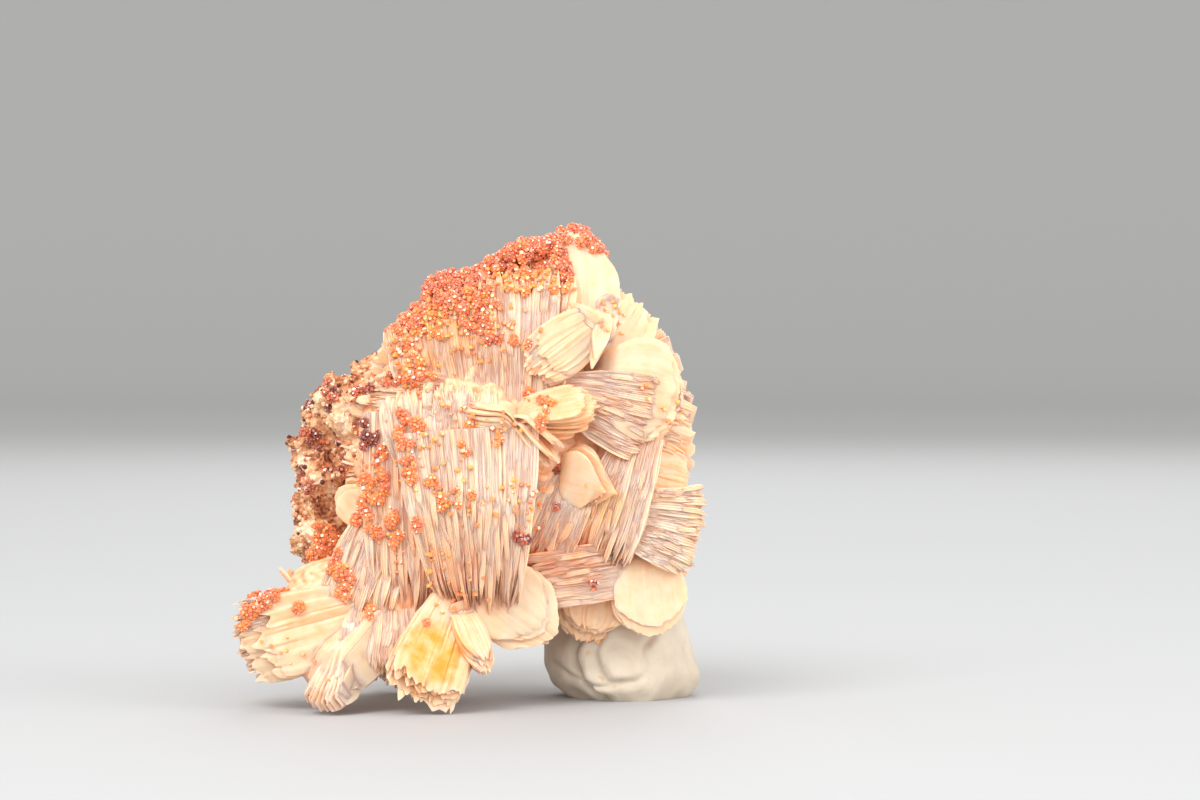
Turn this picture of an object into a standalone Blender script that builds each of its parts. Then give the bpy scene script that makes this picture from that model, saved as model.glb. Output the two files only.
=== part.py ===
"""Vanadinite on barite and brown rock, propped on a pinched lump of display putty.

The specimen grew as one piece, so it is one solid.  Its barite is sheaves of sharp-edged blades.
They grew on a lump of iron-stained rock, at the back and left.  Small hexagonal crystals of
vanadinite crust the ridge and dot the left side.  The tables give millimetres, and Blender gets
metres.  +X is right, +Y is away from the front, +Z is up, and Z 0 is the surface it stands on.
"""

import math
import random
from collections import namedtuple

import bmesh
import bpy
from mathutils import Matrix, Vector, noise
from mathutils.bvhtree import BVHTree

MM = 0.001
SEED = 11
CLEARANCE = 0.35        # between the specimen and the putty
BLADE_CORNERS = 8       # corners of a barite blade's outline
BLADE_THICKNESS = 2.2   # at its thickest; the rim is sharp
BLADE_TURN = 5          # degrees that a blade strays from its sheaf
BLUNT_FROM = 0.45       # with this flare or more, a blade ends in an edge and not in a point
FLARED_ROOT = 0.4       # how wide a blade with a flare of 1 is at its root
FLARED_TIP = 1.25       # and at its tip
RIM_RAGGED = (0.75, 1.08)
TIP_RAGGED = 0.12       # share of its length by which a blade's end strays
TIP_DROOP = 1.5         # how far short of the middle blade the outer blades of a sheaf end
OPEN_BELOW = ("left_lobe", "lobe_under")    # fans whose undersides show too
FAN_FROM = 5            # a sheaf of this many blades or more is made as one fan
GROOVE = 1.5            # depth of the grooves of a fan, for each mm between its blades
GROOVE_MOST = 2.2
GROOVE_FLOOR = 0.1      # how far above the middle of a fan its grooves stay
RIDGE_HEIGHTS = (0.8, 1.05)
RIDGE_DRIFT = 0.25      # how far a ridge strays sideways, as a share of its width
NOTCH = 0.1             # share of its length by which the grooves of a fan fall short of its tips
ROW_AT = (0, 0.4, 0.8, 1)           # shares of its length at which a fan has a row of points
PETAL_ROW = (0.6, 1, 0.7, 0.1)      # how far the rows stand out, where a fan tapers to its tip
FAN_ROW = (0.4, 0.75, 1, 0.5)       # and where it doesn't
SPECIMEN_TRIANGLES = 9500
CENTRE = Vector((3, 0, 36))     # the middle of the mass, from which the blades point away
ORIGIN = Vector((0.4, 0.5, 0))  # the middle of the bounding box, below which the origin lies

# A sheaf is blades stacked along `stack`, each running from the root line to the tip line.  They
# stand `proud` of those lines and reach `deep` into the mass.  A flare of 0 is a petal and 1 is a
# fan, widest at its tip.  Splay is the angle in degrees between the first and last blade.
Sheaf = namedtuple("Sheaf", "name root tip stack root_width tip_width proud deep blades splay flare")

FRONT = (
    Sheaf("left_lobe", (-9, -9, 17), (-34.2, -12, 9.4), (0.5, 0, 1), 4, 15, 5, 7, 10, 20, 0.5),
    Sheaf("lobe_under", (-9, -11, 15), (-22, -18, 3.5), (1, 0, 0.6), 4, 12, 4, 6, 6, 20, 0.4),
    Sheaf("left_toe", (-14, -15, 11), (-21, -24, -0.6), (0.2, -1, 0.3), 3, 2, 3.6, 3.6, 3, 5, 0.5),
    Sheaf("yellow_toe", (-1, -16, 16), (-6.6, -24.4, -1.4), (0.1, -1, -0.2), 4, 3, 5.6, 5.6, 4, 8, 0.8),
    Sheaf("right_toe", (-1, -15, 15), (4.0, -19.5, 5.0), (0.5, -1, 0), 3, 3, 2.8, 2.8, 3, 8, 0.4),
    Sheaf("apron", (1, -12, 20), (14, -12.5, 10.0), (0.3, -1, -0.2), 5, 3, 6.5, 6.5, 4, 8, 0.7),
    Sheaf("hem", (-12, -12, 14), (-10, -17, 3.5), (0.3, -1, 0.2), 5, 4, 7, 7, 4, 10, 0.6),
    Sheaf("striped_main", (2.5, -13, 12), (0.5, -12, 41), (1, 0, 0), 9, 19, 6.5, 7, 13, 36, 0.1),
    Sheaf("striped_left", (-8, -14, 13), (-9, -7, 43), (1, 0, 0.1), 9, 10, 5, 7, 7, 30, 0.1),
    Sheaf("brow", (-3, -12, 36), (-4, -10, 48), (1, 0, 0.3), 13, 17, 3.5, 5, 9, 30, 0.3),
    Sheaf("pale_flank", (-12, -8, 25), (-20, -6.5, 33), (-0.4, -1, 0), 3, 3, 5, 5, 3, 8, 0.6),
    Sheaf("left_shelf", (1, -7, 44), (-15, -3.5, 45.5), (0, 0.2, 1), 6, 7, 4.5, 7, 5, 24, 0.3),
    Sheaf("upper_main", (6, -8, 43), (5, -1, 65.5), (1, 0, 0.45), 15, 21, 5, 8, 11, 40, 0.4),
    Sheaf("upper_left", (-4, -6, 45), (-8, -1, 58), (1, 0, 0.3), 8, 9, 4.5, 7, 6, 34, 0.4),
    Sheaf("summit", (17, -5, 50), (15.5, 2, 72), (0.3, -1, 0.1), 6, 6, 7, 7, 4, 14, 0.7),
    Sheaf("shoulder", (19, -5, 49), (25.5, 1, 60.5), (0.7, -0.6, 0.5), 6, 8, 5.6, 6, 5, 22, 0.6),
    Sheaf("swirl", (20, -8, 57), (9, -9.5, 49), (-0.5, 0, 0.8), 3, 9, 3.4, 5, 7, 24, 0.5),
    Sheaf("curl", (20.5, -8, 58), (20.2, -12.5, 49.5), (1, -0.5, 0), 2, 2.5, 3.6, 3, 2, 10, 0.4),
    Sheaf("right_fan", (13, -8, 46), (31.5, -4.5, 41), (0, 0.1, 1), 5, 14, 5, 7, 10, 30, 0.5),
    Sheaf("right_face", (20, -7, 48), (33.6, -3.2, 45.3), (0.3, -1, 0.2), 5, 4, 8.2, 8.2, 4, 6, 0.9),
    Sheaf("rosette_left", (8.5, -14.5, 43), (-2, -12.5, 43.5), (0.1, -0.5, 1), 2, 3.4, 3, 3, 4, 20, 0.2),
    Sheaf("rosette_right", (7, -14, 43), (20.5, -12, 44.5), (0, -0.8, 0.6), 2, 5, 3.8, 3.8, 4, 20, 0.8),
    Sheaf("rosette_low", (7, -14, 43.5), (14, -15, 35), (0.75, -0.3, 0.6), 2, 5.5, 2.6, 4, 3, 16, 0.3),
    Sheaf("disc", (14, -9, 34.5), (23.5, -12.5, 31.5), (0.1, -1, -0.3), 4, 4.5, 5.2, 5.2, 4, 8, 0.1),
    Sheaf("mid_plates", (26, -6, 40), (20, -8.5, 20.5), (1, 0, -0.2), 6, 8, 4, 7, 6, 24, 0.3),
    Sheaf("right_low", (22, -7, 28), (35.3, -3, 25), (0, 0, 1), 6, 13.5, 5, 7, 9, 26, 0.5),
    Sheaf("pale_shoulder", (25, -4, 34), (34.4, -0.5, 31.5), (0.3, -1, 0.2), 4, 3, 5, 5, 3, 10, 0.8),
    Sheaf("cavity", (16.5, -8, 35), (8.5, -9.5, 20), (1, 0, -0.4), 5, 7, 3, 5, 5, 16, 0.3),
    Sheaf("layered", (24, -5, 20.5), (5, -10.5, 18), (0, 0, 1), 7, 7, 4.5, 6, 7, 22, 0.3),
    Sheaf("low_right_face", (26.3, -5.2, 23), (27.8, -7.3, 8.9), (0.25, -1, -0.2), 4, 3, 6.2, 6.2, 4, 6, 0.75),
    Sheaf("underside", (19, -2, 18), (17, -5, 8.6), (0.3, -1, 0), 7, 6, 5.5, 5.5, 4, 14, 0.5),
)

BACK = (
    Sheaf("back_summit", (14, 4, 46), (13, 12, 66.5), (1, 0.2, 0), 12, 17, 5, 7, 8, 34, 0.4),
    Sheaf("back_right_top", (17, 5, 44), (29, 9, 56), (-0.6, 0.3, 0.7), 6, 13, 5, 7, 7, 30, 0.5),
    Sheaf("back_right", (14, 7, 36), (34, 8, 34), (0, 0.2, 1), 7, 17, 6, 7, 9, 30, 0.5),
    Sheaf("back_right_low", (15, 7, 26), (30.5, 11, 17.5), (0.4, 0, 0.9), 6, 12, 6, 7, 7, 30, 0.5),
    Sheaf("back_middle", (8, 13, 24), (10, 19, 46), (1, 0, 0), 14, 18, 5, 8, 8, 36, 0.2),
    Sheaf("back_low", (8, 10, 30), (14, 18, 12), (1, -0.2, 0.2), 10, 15, 5, 7, 7, 34, 0.5),
    Sheaf("back_foot", (-2, 2, 20), (-6, 8, 7), (1, 0.3, 0), 10, 14, 4, 6, 5, 34, 0.5),
    Sheaf("right_edge", (17, 1, 42), (34.5, 3, 40), (0, 0.5, 0.8), 6, 13, 5, 6, 6, 26, 0.7),
    Sheaf("right_edge_low", (18, 0, 27), (34, 3, 20), (0.3, 0.5, 0.8), 6, 10, 5, 6, 5, 26, 0.7),
)

# Centre and half sizes of the ellipsoids of massive barite from which the sheaves spring.
CORE = (
    ((4, 1, 35), (22, 14, 25)),
    ((9, 2, 54), (15, 9, 14)),
    ((-13, -8, 16), (15, 8, 8)),
    ((20, 2, 34), (13, 11, 22)),
)

# The rock: centre and half sizes of its slab and bulge, then the place and radius of its knobs.
ROCK = (
    ((-14, 10, 31), (12.5, 12, 19)),
    ((0, 16, 41), (17, 8, 18)),
)
ROCK_KNOBS = (
    ((-20, 2, 45.5), 3.2), ((-24, 5, 37), 3.4), ((-23, 3, 28), 3.6), ((-22, 12, 22), 3.8),
    ((-18, 0, 43), 3.0), ((-15, 6, 47), 3.4), ((-22, 14, 39), 3.6), ((-17, 18, 28), 4.0),
    ((-13, 19, 42), 3.8), ((-2, 22, 34), 3.6), ((4, 21, 49), 3.4), ((-22, -1, 34), 3.0),
    ((-22, -1, 24), 3.2), ((-8, 20, 24), 3.6), ((-9, 14, 50), 3.2),
)
ROCK_FOOT = ((-12, 9, 9), (7, 6, 10))   # it reaches down to the table behind the left toe
FOOT_ABOVE = 0.2                        # how far its lowest point ends above the table

# Depth and grain of the unevenness of each kind of lump.
SLAB_ROUGH = (4.0, 5.0)
KNOB_ROUGH = (2.0, 2.2)
FOOT_ROUGH = (1.5, 3.0)
PUTTY_ROUGH = (0.9, 7.0)

# Each patch of vanadinite: the middle and radius of the patch, the way the crystals rain on it,
# and how many there are.
Patch = namedtuple("Patch", "middle radius rain crystals")
PATCHES = (
    Patch((-9, -2, 56), 3.5, (0.3, 0.4, -1), 10),
    Patch((-3, -1, 60), 4.0, (0.3, 0.4, -1), 13),
    Patch((3, 0, 65), 4.5, (0.3, 0.4, -1), 15),
    Patch((10, 1, 69), 4.5, (0.1, 0.3, -1), 15),
    Patch((15, 2, 70), 4.0, (-0.2, 0.4, -1), 11),
    Patch((3.0, -7, 57), 4.0, (0, 1, -0.4), 10),
    Patch((-26.0, -11, 18), 5.0, (0.3, 0.3, -1), 12),
    Patch((-18.5, -9, 22), 4.5, (0.6, 1, -0.3), 12),
    Patch((-12.0, -4, 46), 3.0, (0.2, 0.6, -1), 6),
)
RAIN_FROM = 20          # how far outside its patch the rain starts
CRYSTAL_RADIUS = 0.95
CRYSTAL_LENGTH = 2.4
CRYSTAL_SIZES = (0.75, 1.15)
CRYSTAL_OUT = 0.17      # how far its middle is above the surface, as a share of its length
CRYSTAL_STRAY = 0.5
GOLDEN_ANGLE = math.pi * (3 - math.sqrt(5))

PUTTY_CENTRE = (24.3, 6, 4.5)
PUTTY_HALF = (11.4, 11, 17.5)
PUTTY_BELOW = 0.43      # how much flatter it is below its middle
PUTTY_LEAN = 5          # how far the top leans to the left of the base
PUTTY_TOP = 15.5        # from here up, the specimen has pressed it flat,
PUTTY_SQUASH = 0.15     # to this share of its height

COLOURS = {
    "barite": ((0.93, 0.70, 0.52), 0.45),
    "rock": ((0.42, 0.20, 0.11), 0.85),
    "vanadinite": ((0.78, 0.20, 0.05), 0.25),
    "putty": ((0.60, 0.53, 0.44), 0.70),
}


def clear_scene():
    for obj in list(bpy.data.objects):
        bpy.data.objects.remove(obj, do_unlink=True)


def collection(name):
    made = bpy.data.collections.new(name)
    bpy.context.scene.collection.children.link(made)
    return made


def material(name):
    colour, roughness = COLOURS[name]
    made = bpy.data.materials.new(name)
    made.use_nodes = True
    surface = made.node_tree.nodes["Principled BSDF"]
    surface.inputs["Base Color"].default_value = (*colour, 1)
    surface.inputs["Roughness"].default_value = roughness
    return made


def mesh_object(name, bm, into, surface=None):
    """Turns a bmesh in millimetres into an object in metres."""
    bmesh.ops.scale(bm, vec=Vector((MM, MM, MM)), verts=bm.verts)
    bmesh.ops.recalc_face_normals(bm, faces=bm.faces)
    mesh = bpy.data.meshes.new(name)
    bm.to_mesh(mesh)
    bm.free()
    if surface:
        mesh.materials.append(surface)
    obj = bpy.data.objects.new(name, mesh)
    into.objects.link(obj)
    return obj


def helper(obj):
    obj.hide_render = True
    obj.display_type = "WIRE"
    return obj


def boolean(obj, operation, other):
    """Adds a Boolean with another object, or with every object of a collection."""
    cut = obj.modifiers.new(f"{operation.lower()} {other.name}", "BOOLEAN")
    cut.operation = operation
    cut.solver = "MANIFOLD"
    cut.material_mode = "TRANSFER"
    if isinstance(other, bpy.types.Collection):
        cut.operand_type = "COLLECTION"
        cut.collection = other
    else:
        cut.object = other


def apply_modifiers(obj):
    """Makes the result of the modifiers the object's own mesh."""
    bpy.context.view_layer.update()
    graph = bpy.context.evaluated_depsgraph_get()
    mesh = bpy.data.meshes.new_from_object(obj.evaluated_get(graph))
    obj.modifiers.clear()
    obj.data = mesh


def thin_out(obj, triangles):
    """Merges the slivers that Booleans leave, down to a number of triangles."""
    obj.data.calc_loop_triangles()
    merge = obj.modifiers.new("thin out", "DECIMATE")
    merge.ratio = triangles / len(obj.data.loop_triangles)
    merge.use_collapse_triangulate = True
    apply_modifiers(obj)


def keep_outer_shell(obj):
    """Fills the pockets that are sealed between blades, and drops loose chips."""
    bm = bmesh.new()
    bm.from_mesh(obj.data)
    shells = []
    unseen = set(bm.faces)
    for start in bm.faces:
        if start not in unseen:
            continue
        unseen.remove(start)
        shell = [start]
        for face in shell:
            sound = [edge for edge in face.edges if len(edge.link_faces) == 2]
            near = {other for edge in sound for other in edge.link_faces} & unseen
            unseen -= near
            shell.extend(near)
        shells.append(shell)
    shells.sort(key=len)
    for shell in shells[:-1]:
        bmesh.ops.delete(bm, geom=shell, context="FACES")
    bm.to_mesh(obj.data)
    bm.free()


def axes(sheaf):
    """The way a sheaf's blades run, stack up and stand out from the mass."""
    run = (Vector(sheaf.tip) - Vector(sheaf.root)).normalized()
    stack = Vector(sheaf.stack)
    stack = (stack - run * stack.dot(run)).normalized()
    outward = run.cross(stack)
    middle = (Vector(sheaf.root) + Vector(sheaf.tip)) / 2
    if outward.dot(middle - CENTRE) < 0:
        outward = -outward
    return run, stack, outward


def spine(sheaf, across, turn):
    """Where the blade at `across` from -1 to 1 starts and ends, and the way it stands out."""
    run, stack, outward = axes(sheaf)
    start = Vector(sheaf.root) + stack * across * sheaf.root_width / 2
    end = Vector(sheaf.tip) + stack * across * sheaf.tip_width / 2
    end -= run * TIP_DROOP * across * across
    along = (end - start).normalized()
    if outward.cross(stack).dot(run) < 0:
        turn = -turn
    side = Matrix.Rotation(turn, 3, along) @ outward
    side = (side - along * side.dot(along)).normalized()
    return start, end, along, side


def blade(chance, sheaf, across):
    """One sharp-edged blade that shows its face."""
    turn = math.radians(across * sheaf.splay / 2 + chance.uniform(-BLADE_TURN, BLADE_TURN))
    start, end, along, side = spine(sheaf, across, turn)
    face = along.cross(side)
    length = (end - start).length * chance.uniform(1 - TIP_RAGGED, 1)
    bm = bmesh.new()
    bmesh.ops.create_uvsphere(bm, u_segments=BLADE_CORNERS, v_segments=2, radius=1)
    if sheaf.flare > BLUNT_FROM:
        half_corner = Matrix.Rotation(math.pi / BLADE_CORNERS, 4, "Z")
        bmesh.ops.transform(bm, matrix=half_corner, verts=bm.verts)
    for vert in bm.verts:
        share = (0.5 + 0.5 * vert.co.x) * chance.uniform(1 - TIP_RAGGED, 1)
        flared = FLARED_ROOT * (1 - share) + FLARED_TIP * share
        width = vert.co.y * ((1 - sheaf.flare) + sheaf.flare * flared)
        width *= (sheaf.proud if vert.co.y > 0 else sheaf.deep) * chance.uniform(*RIM_RAGGED)
        thick = vert.co.z * BLADE_THICKNESS / 2
        vert.co = start + along * share * length + side * width + face * thick
    return bm


def fan(chance, sheaf):
    """Many blades edge on, grown together: a ridge for each blade, and grooves between them."""
    bm = bmesh.new()
    columns = 2 * sheaf.blades
    rows = len(ROW_AT) - 1
    bmesh.ops.create_grid(bm, x_segments=columns, y_segments=rows, size=1)
    spots = [(round((v.co.x + 1) / 2 * columns), round((v.co.y + 1) / 2 * rows)) for v in bm.verts]
    top = bm.verts[:]
    made = bmesh.ops.extrude_face_region(bm, geom=bm.faces[:])
    under = [item for item in made["geom"] if isinstance(item, bmesh.types.BMVert)]
    places = {tuple(v.co): spot for v, spot in zip(top, spots)}
    reach = [chance.uniform(1 - TIP_RAGGED, 1) for _ in range(columns + 1)]
    height = [chance.uniform(*RIDGE_HEIGHTS) for _ in range(columns + 1)]
    drift = [chance.uniform(-RIDGE_DRIFT, RIDGE_DRIFT) for _ in range(columns + 1)]
    for verts, sign, half in ((top, 1, sheaf.proud), (under, -1, sheaf.deep)):
        for vert in verts:
            column, row = places[tuple(vert.co)]
            ridge = column % 2 == 1
            across = 2 * (column + drift[column]) / columns - 1
            turn = math.radians(across * sheaf.splay / 2)
            start, end, along, side = spine(sheaf, across, turn)
            share = ROW_AT[row]
            width = sheaf.root_width * (1 - share) + sheaf.tip_width * share
            groove = min(GROOVE_MOST, GROOVE * width / sheaf.blades)
            stand = half * (PETAL_ROW[row] * (1 - sheaf.flare) + FAN_ROW[row] * sheaf.flare)
            if verts is top or sheaf.name in OPEN_BELOW:
                stand = stand * height[column] if ridge else max(GROOVE_FLOOR, stand - groove)
            if row == rows:
                share = reach[column] if ridge else reach[column] - NOTCH
            vert.co = start + (end - start) * share + side * stand * sign
    return bm


def barite_blades(into, surface):
    chance = random.Random(SEED)
    for sheaf in FRONT + BACK:
        if sheaf.blades >= FAN_FROM:
            helper(mesh_object(sheaf.name, fan(chance, sheaf), into, surface))
            continue
        for index in range(sheaf.blades):
            across = 2 * index / (sheaf.blades - 1) - 1
            bm = blade(chance, sheaf, across)
            helper(mesh_object(f"{sheaf.name}_{index}", bm, into, surface))


def ellipsoid(centre, half, subdivisions):
    bm = bmesh.new()
    bmesh.ops.create_icosphere(bm, subdivisions=subdivisions, radius=1)
    bmesh.ops.scale(bm, vec=Vector(half), verts=bm.verts)
    bmesh.ops.translate(bm, vec=Vector(centre), verts=bm.verts)
    return bm


def roughen(bm, rough, offset=0):
    """Pushes each point along its normal by noise of a depth and grain, and by a fixed offset."""
    depth, grain = rough
    bm.normal_update()
    moves = {v: v.normal * (offset + depth * noise.noise(v.co / grain)) for v in bm.verts}
    for vert, move in moves.items():
        vert.co += move


def rock_lumps(into, surface):
    for number, (centre, half) in enumerate(ROCK):
        bm = ellipsoid(centre, half, 3)
        roughen(bm, SLAB_ROUGH)
        helper(mesh_object(f"rock_{number}", bm, into, surface))
    for number, (centre, radius) in enumerate(ROCK_KNOBS):
        bm = ellipsoid(centre, (radius, radius, radius), 1)
        roughen(bm, KNOB_ROUGH)
        helper(mesh_object(f"rock_knob_{number}", bm, into, surface))
    foot = ellipsoid(*ROCK_FOOT, 2)
    roughen(foot, FOOT_ROUGH)
    drop = FOOT_ABOVE - min(vert.co.z for vert in foot.verts)
    bmesh.ops.translate(foot, vec=Vector((0, 0, drop)), verts=foot.verts)
    helper(mesh_object("rock_foot", foot, into, surface))


def crystal(chance, spot, outward):
    """A short hexagonal prism that stands on a spot, partly sunk in."""
    bm = bmesh.new()
    radius = CRYSTAL_RADIUS * chance.uniform(*CRYSTAL_SIZES)
    length = CRYSTAL_LENGTH * chance.uniform(*CRYSTAL_SIZES)
    bmesh.ops.create_cone(
        bm, cap_ends=True, segments=6, radius1=radius, radius2=radius, depth=length
    )
    stand = outward.to_track_quat("Z", "Y").to_matrix().to_4x4()
    spin = Matrix.Rotation(chance.uniform(0, math.tau), 4, "Z")
    place = Matrix.Translation(spot + outward * length * CRYSTAL_OUT)
    bmesh.ops.transform(bm, matrix=place @ stand @ spin, verts=bm.verts)
    return bm


def vanadinite(specimen, into, surface):
    """Rains crystals on each patch, so that each one stands where it first meets the specimen."""
    chance = random.Random(SEED + 1)
    bm = bmesh.new()
    bm.from_mesh(specimen.data)
    bmesh.ops.scale(bm, vec=Vector((1 / MM, 1 / MM, 1 / MM)), verts=bm.verts)
    ground = BVHTree.FromBMesh(bm)
    bm.free()
    for number, patch in enumerate(PATCHES):
        rain = Vector(patch.rain).normalized()
        turn = rain.to_track_quat("Z", "Y").to_matrix()
        for index in range(patch.crystals):
            reach = patch.radius * math.sqrt((index + 0.5) / patch.crystals)
            angle = index * GOLDEN_ANGLE + number
            offset = turn @ Vector((reach * math.cos(angle), reach * math.sin(angle), 0))
            start = Vector(patch.middle) + offset - rain * RAIN_FROM
            spot, normal, _, _ = ground.ray_cast(start, rain)
            if spot is None:
                continue
            stray = Vector([chance.uniform(-CRYSTAL_STRAY, CRYSTAL_STRAY) for _ in range(3)])
            outward = (normal - rain + stray).normalized()
            bm = crystal(chance, spot, outward)
            helper(mesh_object(f"crystal_{number}_{index}", bm, into, surface))


def putty(offset, name, into):
    """A pinched lump that leans to the left, flat underneath and where the specimen presses on it."""
    bm = ellipsoid(PUTTY_CENTRE, PUTTY_HALF, 3)
    middle = PUTTY_CENTRE[2]
    for vert in bm.verts:
        if vert.co.z < middle:
            vert.co.z = middle - (middle - vert.co.z) * PUTTY_BELOW
        vert.co.x -= PUTTY_LEAN * max(0.0, vert.co.z) / (middle + PUTTY_HALF[2])
        if vert.co.z > PUTTY_TOP:
            vert.co.z = PUTTY_TOP + (vert.co.z - PUTTY_TOP) * PUTTY_SQUASH
    roughen(bm, PUTTY_ROUGH, offset)
    floor = bmesh.ops.bisect_plane(
        bm,
        geom=bm.verts[:] + bm.edges[:] + bm.faces[:],
        dist=1e-6,
        plane_co=(0, 0, -offset),
        plane_no=(0, 0, -1),
        clear_outer=True,
    )
    rim = [item for item in floor["geom_cut"] if isinstance(item, bmesh.types.BMEdge)]
    bmesh.ops.contextual_create(bm, geom=rim)
    return mesh_object(name, bm, into)


def main():
    clear_scene()
    parts = collection("vanadinite on barite")
    grown = collection("blades and rock")
    crystals = collection("crystals")
    cutters = collection("cutters")

    barite = material("barite")
    barite_blades(grown, barite)
    rock_lumps(grown, material("rock"))
    for number, (centre, half) in enumerate(CORE[1:]):
        helper(mesh_object(f"core_{number}", ellipsoid(centre, half, 2), grown, barite))
    specimen = mesh_object("specimen", ellipsoid(*CORE[0], 2), parts, barite)
    boolean(specimen, "UNION", grown)
    apply_modifiers(specimen)
    vanadinite(specimen, crystals, material("vanadinite"))
    lump = putty(0, "putty", parts)
    lump.data.materials.append(material("putty"))
    bed = helper(putty(CLEARANCE, "putty_bed", cutters))
    boolean(specimen, "UNION", crystals)
    boolean(specimen, "DIFFERENCE", bed)
    apply_modifiers(specimen)
    keep_outer_shell(specimen)
    thin_out(specimen, SPECIMEN_TRIANGLES)
    keep_outer_shell(specimen)
    for obj in (specimen, lump):
        obj.data.transform(Matrix.Translation(-ORIGIN * MM))


main()
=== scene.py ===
"""Vanadinite on barite and brown rock, propped on a pinched lump of display putty.

The tables give millimetres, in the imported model's frame: +X is right, +Y is away from the front,
+Z is up, and Z 0 is the surface that the specimen stands on.
"""

import math
import random
from collections import namedtuple

import bmesh
import bpy
from bpy.props import FloatProperty, IntProperty, PointerProperty
from mathutils import Matrix, Vector, noise
from mathutils.bvhtree import BVHTree


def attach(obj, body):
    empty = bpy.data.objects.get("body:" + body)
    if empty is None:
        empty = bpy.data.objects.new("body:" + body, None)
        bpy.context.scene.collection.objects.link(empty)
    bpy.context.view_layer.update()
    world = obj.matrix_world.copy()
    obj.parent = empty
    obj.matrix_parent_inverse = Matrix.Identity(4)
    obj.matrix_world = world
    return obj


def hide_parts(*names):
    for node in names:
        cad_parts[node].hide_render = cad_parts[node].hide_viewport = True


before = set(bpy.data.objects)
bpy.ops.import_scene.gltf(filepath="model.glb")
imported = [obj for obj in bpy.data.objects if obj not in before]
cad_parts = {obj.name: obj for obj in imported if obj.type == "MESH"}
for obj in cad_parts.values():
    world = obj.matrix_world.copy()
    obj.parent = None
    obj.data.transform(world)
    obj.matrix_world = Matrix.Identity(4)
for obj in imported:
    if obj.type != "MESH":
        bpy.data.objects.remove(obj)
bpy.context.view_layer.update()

bl_info = {
    "name": "Vanadinite on Matrix",
    "version": (1, 0, 0),
    "blender": (4, 5, 0),
    "location": "View3D > Sidebar > Specimen",
    "description": "Builds bladed barite, vanadinite crystals, matrix rock and mounting putty",
    "category": "Add Mesh",
}

MM = 0.001
MIX_A, MIX_B, MIX_RESULT = 6, 7, 2      # a Mix node's colour sockets, whose names others share
CENTRE = Vector((2.5, -0.5, 36))    # the middle of the mass, from which the plates point away

# A sheaf is plates stacked along `stack`, each running from the root line to the tip line.  They
# stand `proud` of those lines and reach `deep` into the mass.  A flare of 0 is a petal and 1 is a
# fan, widest at its tip.  Splay is the angle in degrees between the first and last plate.
Sheaf = namedtuple("Sheaf", "name root tip stack root_width tip_width proud deep plates splay flare")

LEFT_AND_LOW = (
    Sheaf("left_lobe", (-9, -9, 17), (-34.2, -12, 9.2), (0.5, 0, 1), 4, 13, 3.4, 7, 36, 20, 0.5),
    Sheaf("lobe_face", (-8, -13, 16.5), (-34.4, -14.2, 9.2), (0.1, -1, 0.1), 4, 2.4, 7.4, 5.8, 6, 5, 0.9),
    Sheaf("left_skirt", (-11, -8, 29), (-16.5, -13, 11.5), (1, 0, 0.2), 6, 11, 5, 6, 30, 26, 0.35),
    Sheaf("lobe_under", (-9, -11, 15), (-22, -18, 3.5), (1, 0, 0.6), 4, 12, 4, 6, 26, 20, 0.4),
    Sheaf("left_toe", (-14, -14, 12), (-21, -22.5, 1.0), (1, -0.3, 0.2), 3, 6.5, 2.8, 3, 18, 24, 0.5),
    Sheaf("yellow_toe", (-0.5, -12, 18.5), (-6.6, -23.2, 1.1), (0.1, -1, -0.2), 4, 3, 6.0, 6.0, 8, 8, 1),
    Sheaf("right_toe", (-1, -15, 15), (4.0, -19.5, 5.0), (0.5, -1, 0), 3, 3, 2.8, 2.8, 6, 8, 0.4),
    Sheaf("apron", (1, -12, 20), (14, -12.5, 10.0), (0.3, -1, -0.2), 5, 3, 6.5, 6.5, 9, 8, 0.7),
    Sheaf("hem", (-11, -12, 15), (-11.5, -17.2, 4), (1, 0.1, 0.1), 9, 12.5, 4, 6, 28, 24, 0.4),
)
STRIPED = (
    Sheaf("striped_main", (0.5, -12, 41), (2.5, -13, 12), (1, 0, 0), 19, 9, 6.5, 7, 54, 36, 0.1),
    Sheaf("striped_left", (-9, -7, 43), (-8, -14, 13), (1, 0, 0.1), 10, 9, 5, 7, 32, 30, 0.1),
    Sheaf("brow", (-3, -12, 36), (-4, -10, 48), (1, 0, 0.3), 13, 17, 3.5, 5, 34, 30, 0.3),
    Sheaf("pale_flank", (-13, -6, 26), (-19.4, -5.5, 32.4), (-0.4, -1, 0), 3, 2, 2.7, 3.2, 3, 6, 0.9),
    Sheaf("left_shelf", (1, -7, 44), (-15, -3.5, 45.5), (0, 0.2, 1), 6, 7, 4.5, 7, 20, 24, 0.3),
)
UPPER = (
    Sheaf("upper_main", (6, -8, 43), (5, -1, 65.5), (1, 0, 0.45), 15, 21, 5, 8, 46, 40, 0.4),
    Sheaf("upper_left", (-4, -6, 45), (-8, -1, 58), (1, 0, 0.3), 8, 9, 4.5, 7, 24, 34, 0.4),
    Sheaf("summit", (17, -5, 50), (15.5, 2, 72), (0.3, -1, 0.1), 6, 6, 7, 7, 8, 14, 0.7),
    Sheaf("shoulder", (18, -5, 49), (25.8, -1, 60.8), (0.3, -1, 0.2), 4, 5, 6, 6, 9, 14, 0.8),
    Sheaf("swirl", (20.5, -8.5, 57.5), (9, -11.6, 49), (0.1, -1, 0.1), 3, 2.6, 4.7, 4.7, 7, 12, 0.8),
    Sheaf("curl_down", (20.6, -8, 59), (18.6, -12, 49.0), (0.3, -1, 0), 1, 1.2, 1.7, 1.5, 3, 10, 0.4),
    Sheaf("curl_left", (20.4, -10, 55.6), (14.4, -10.4, 60.2), (0.1, -1, 0.2), 1, 1, 1.6, 1.2, 3, 8, 0.3),
)
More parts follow.
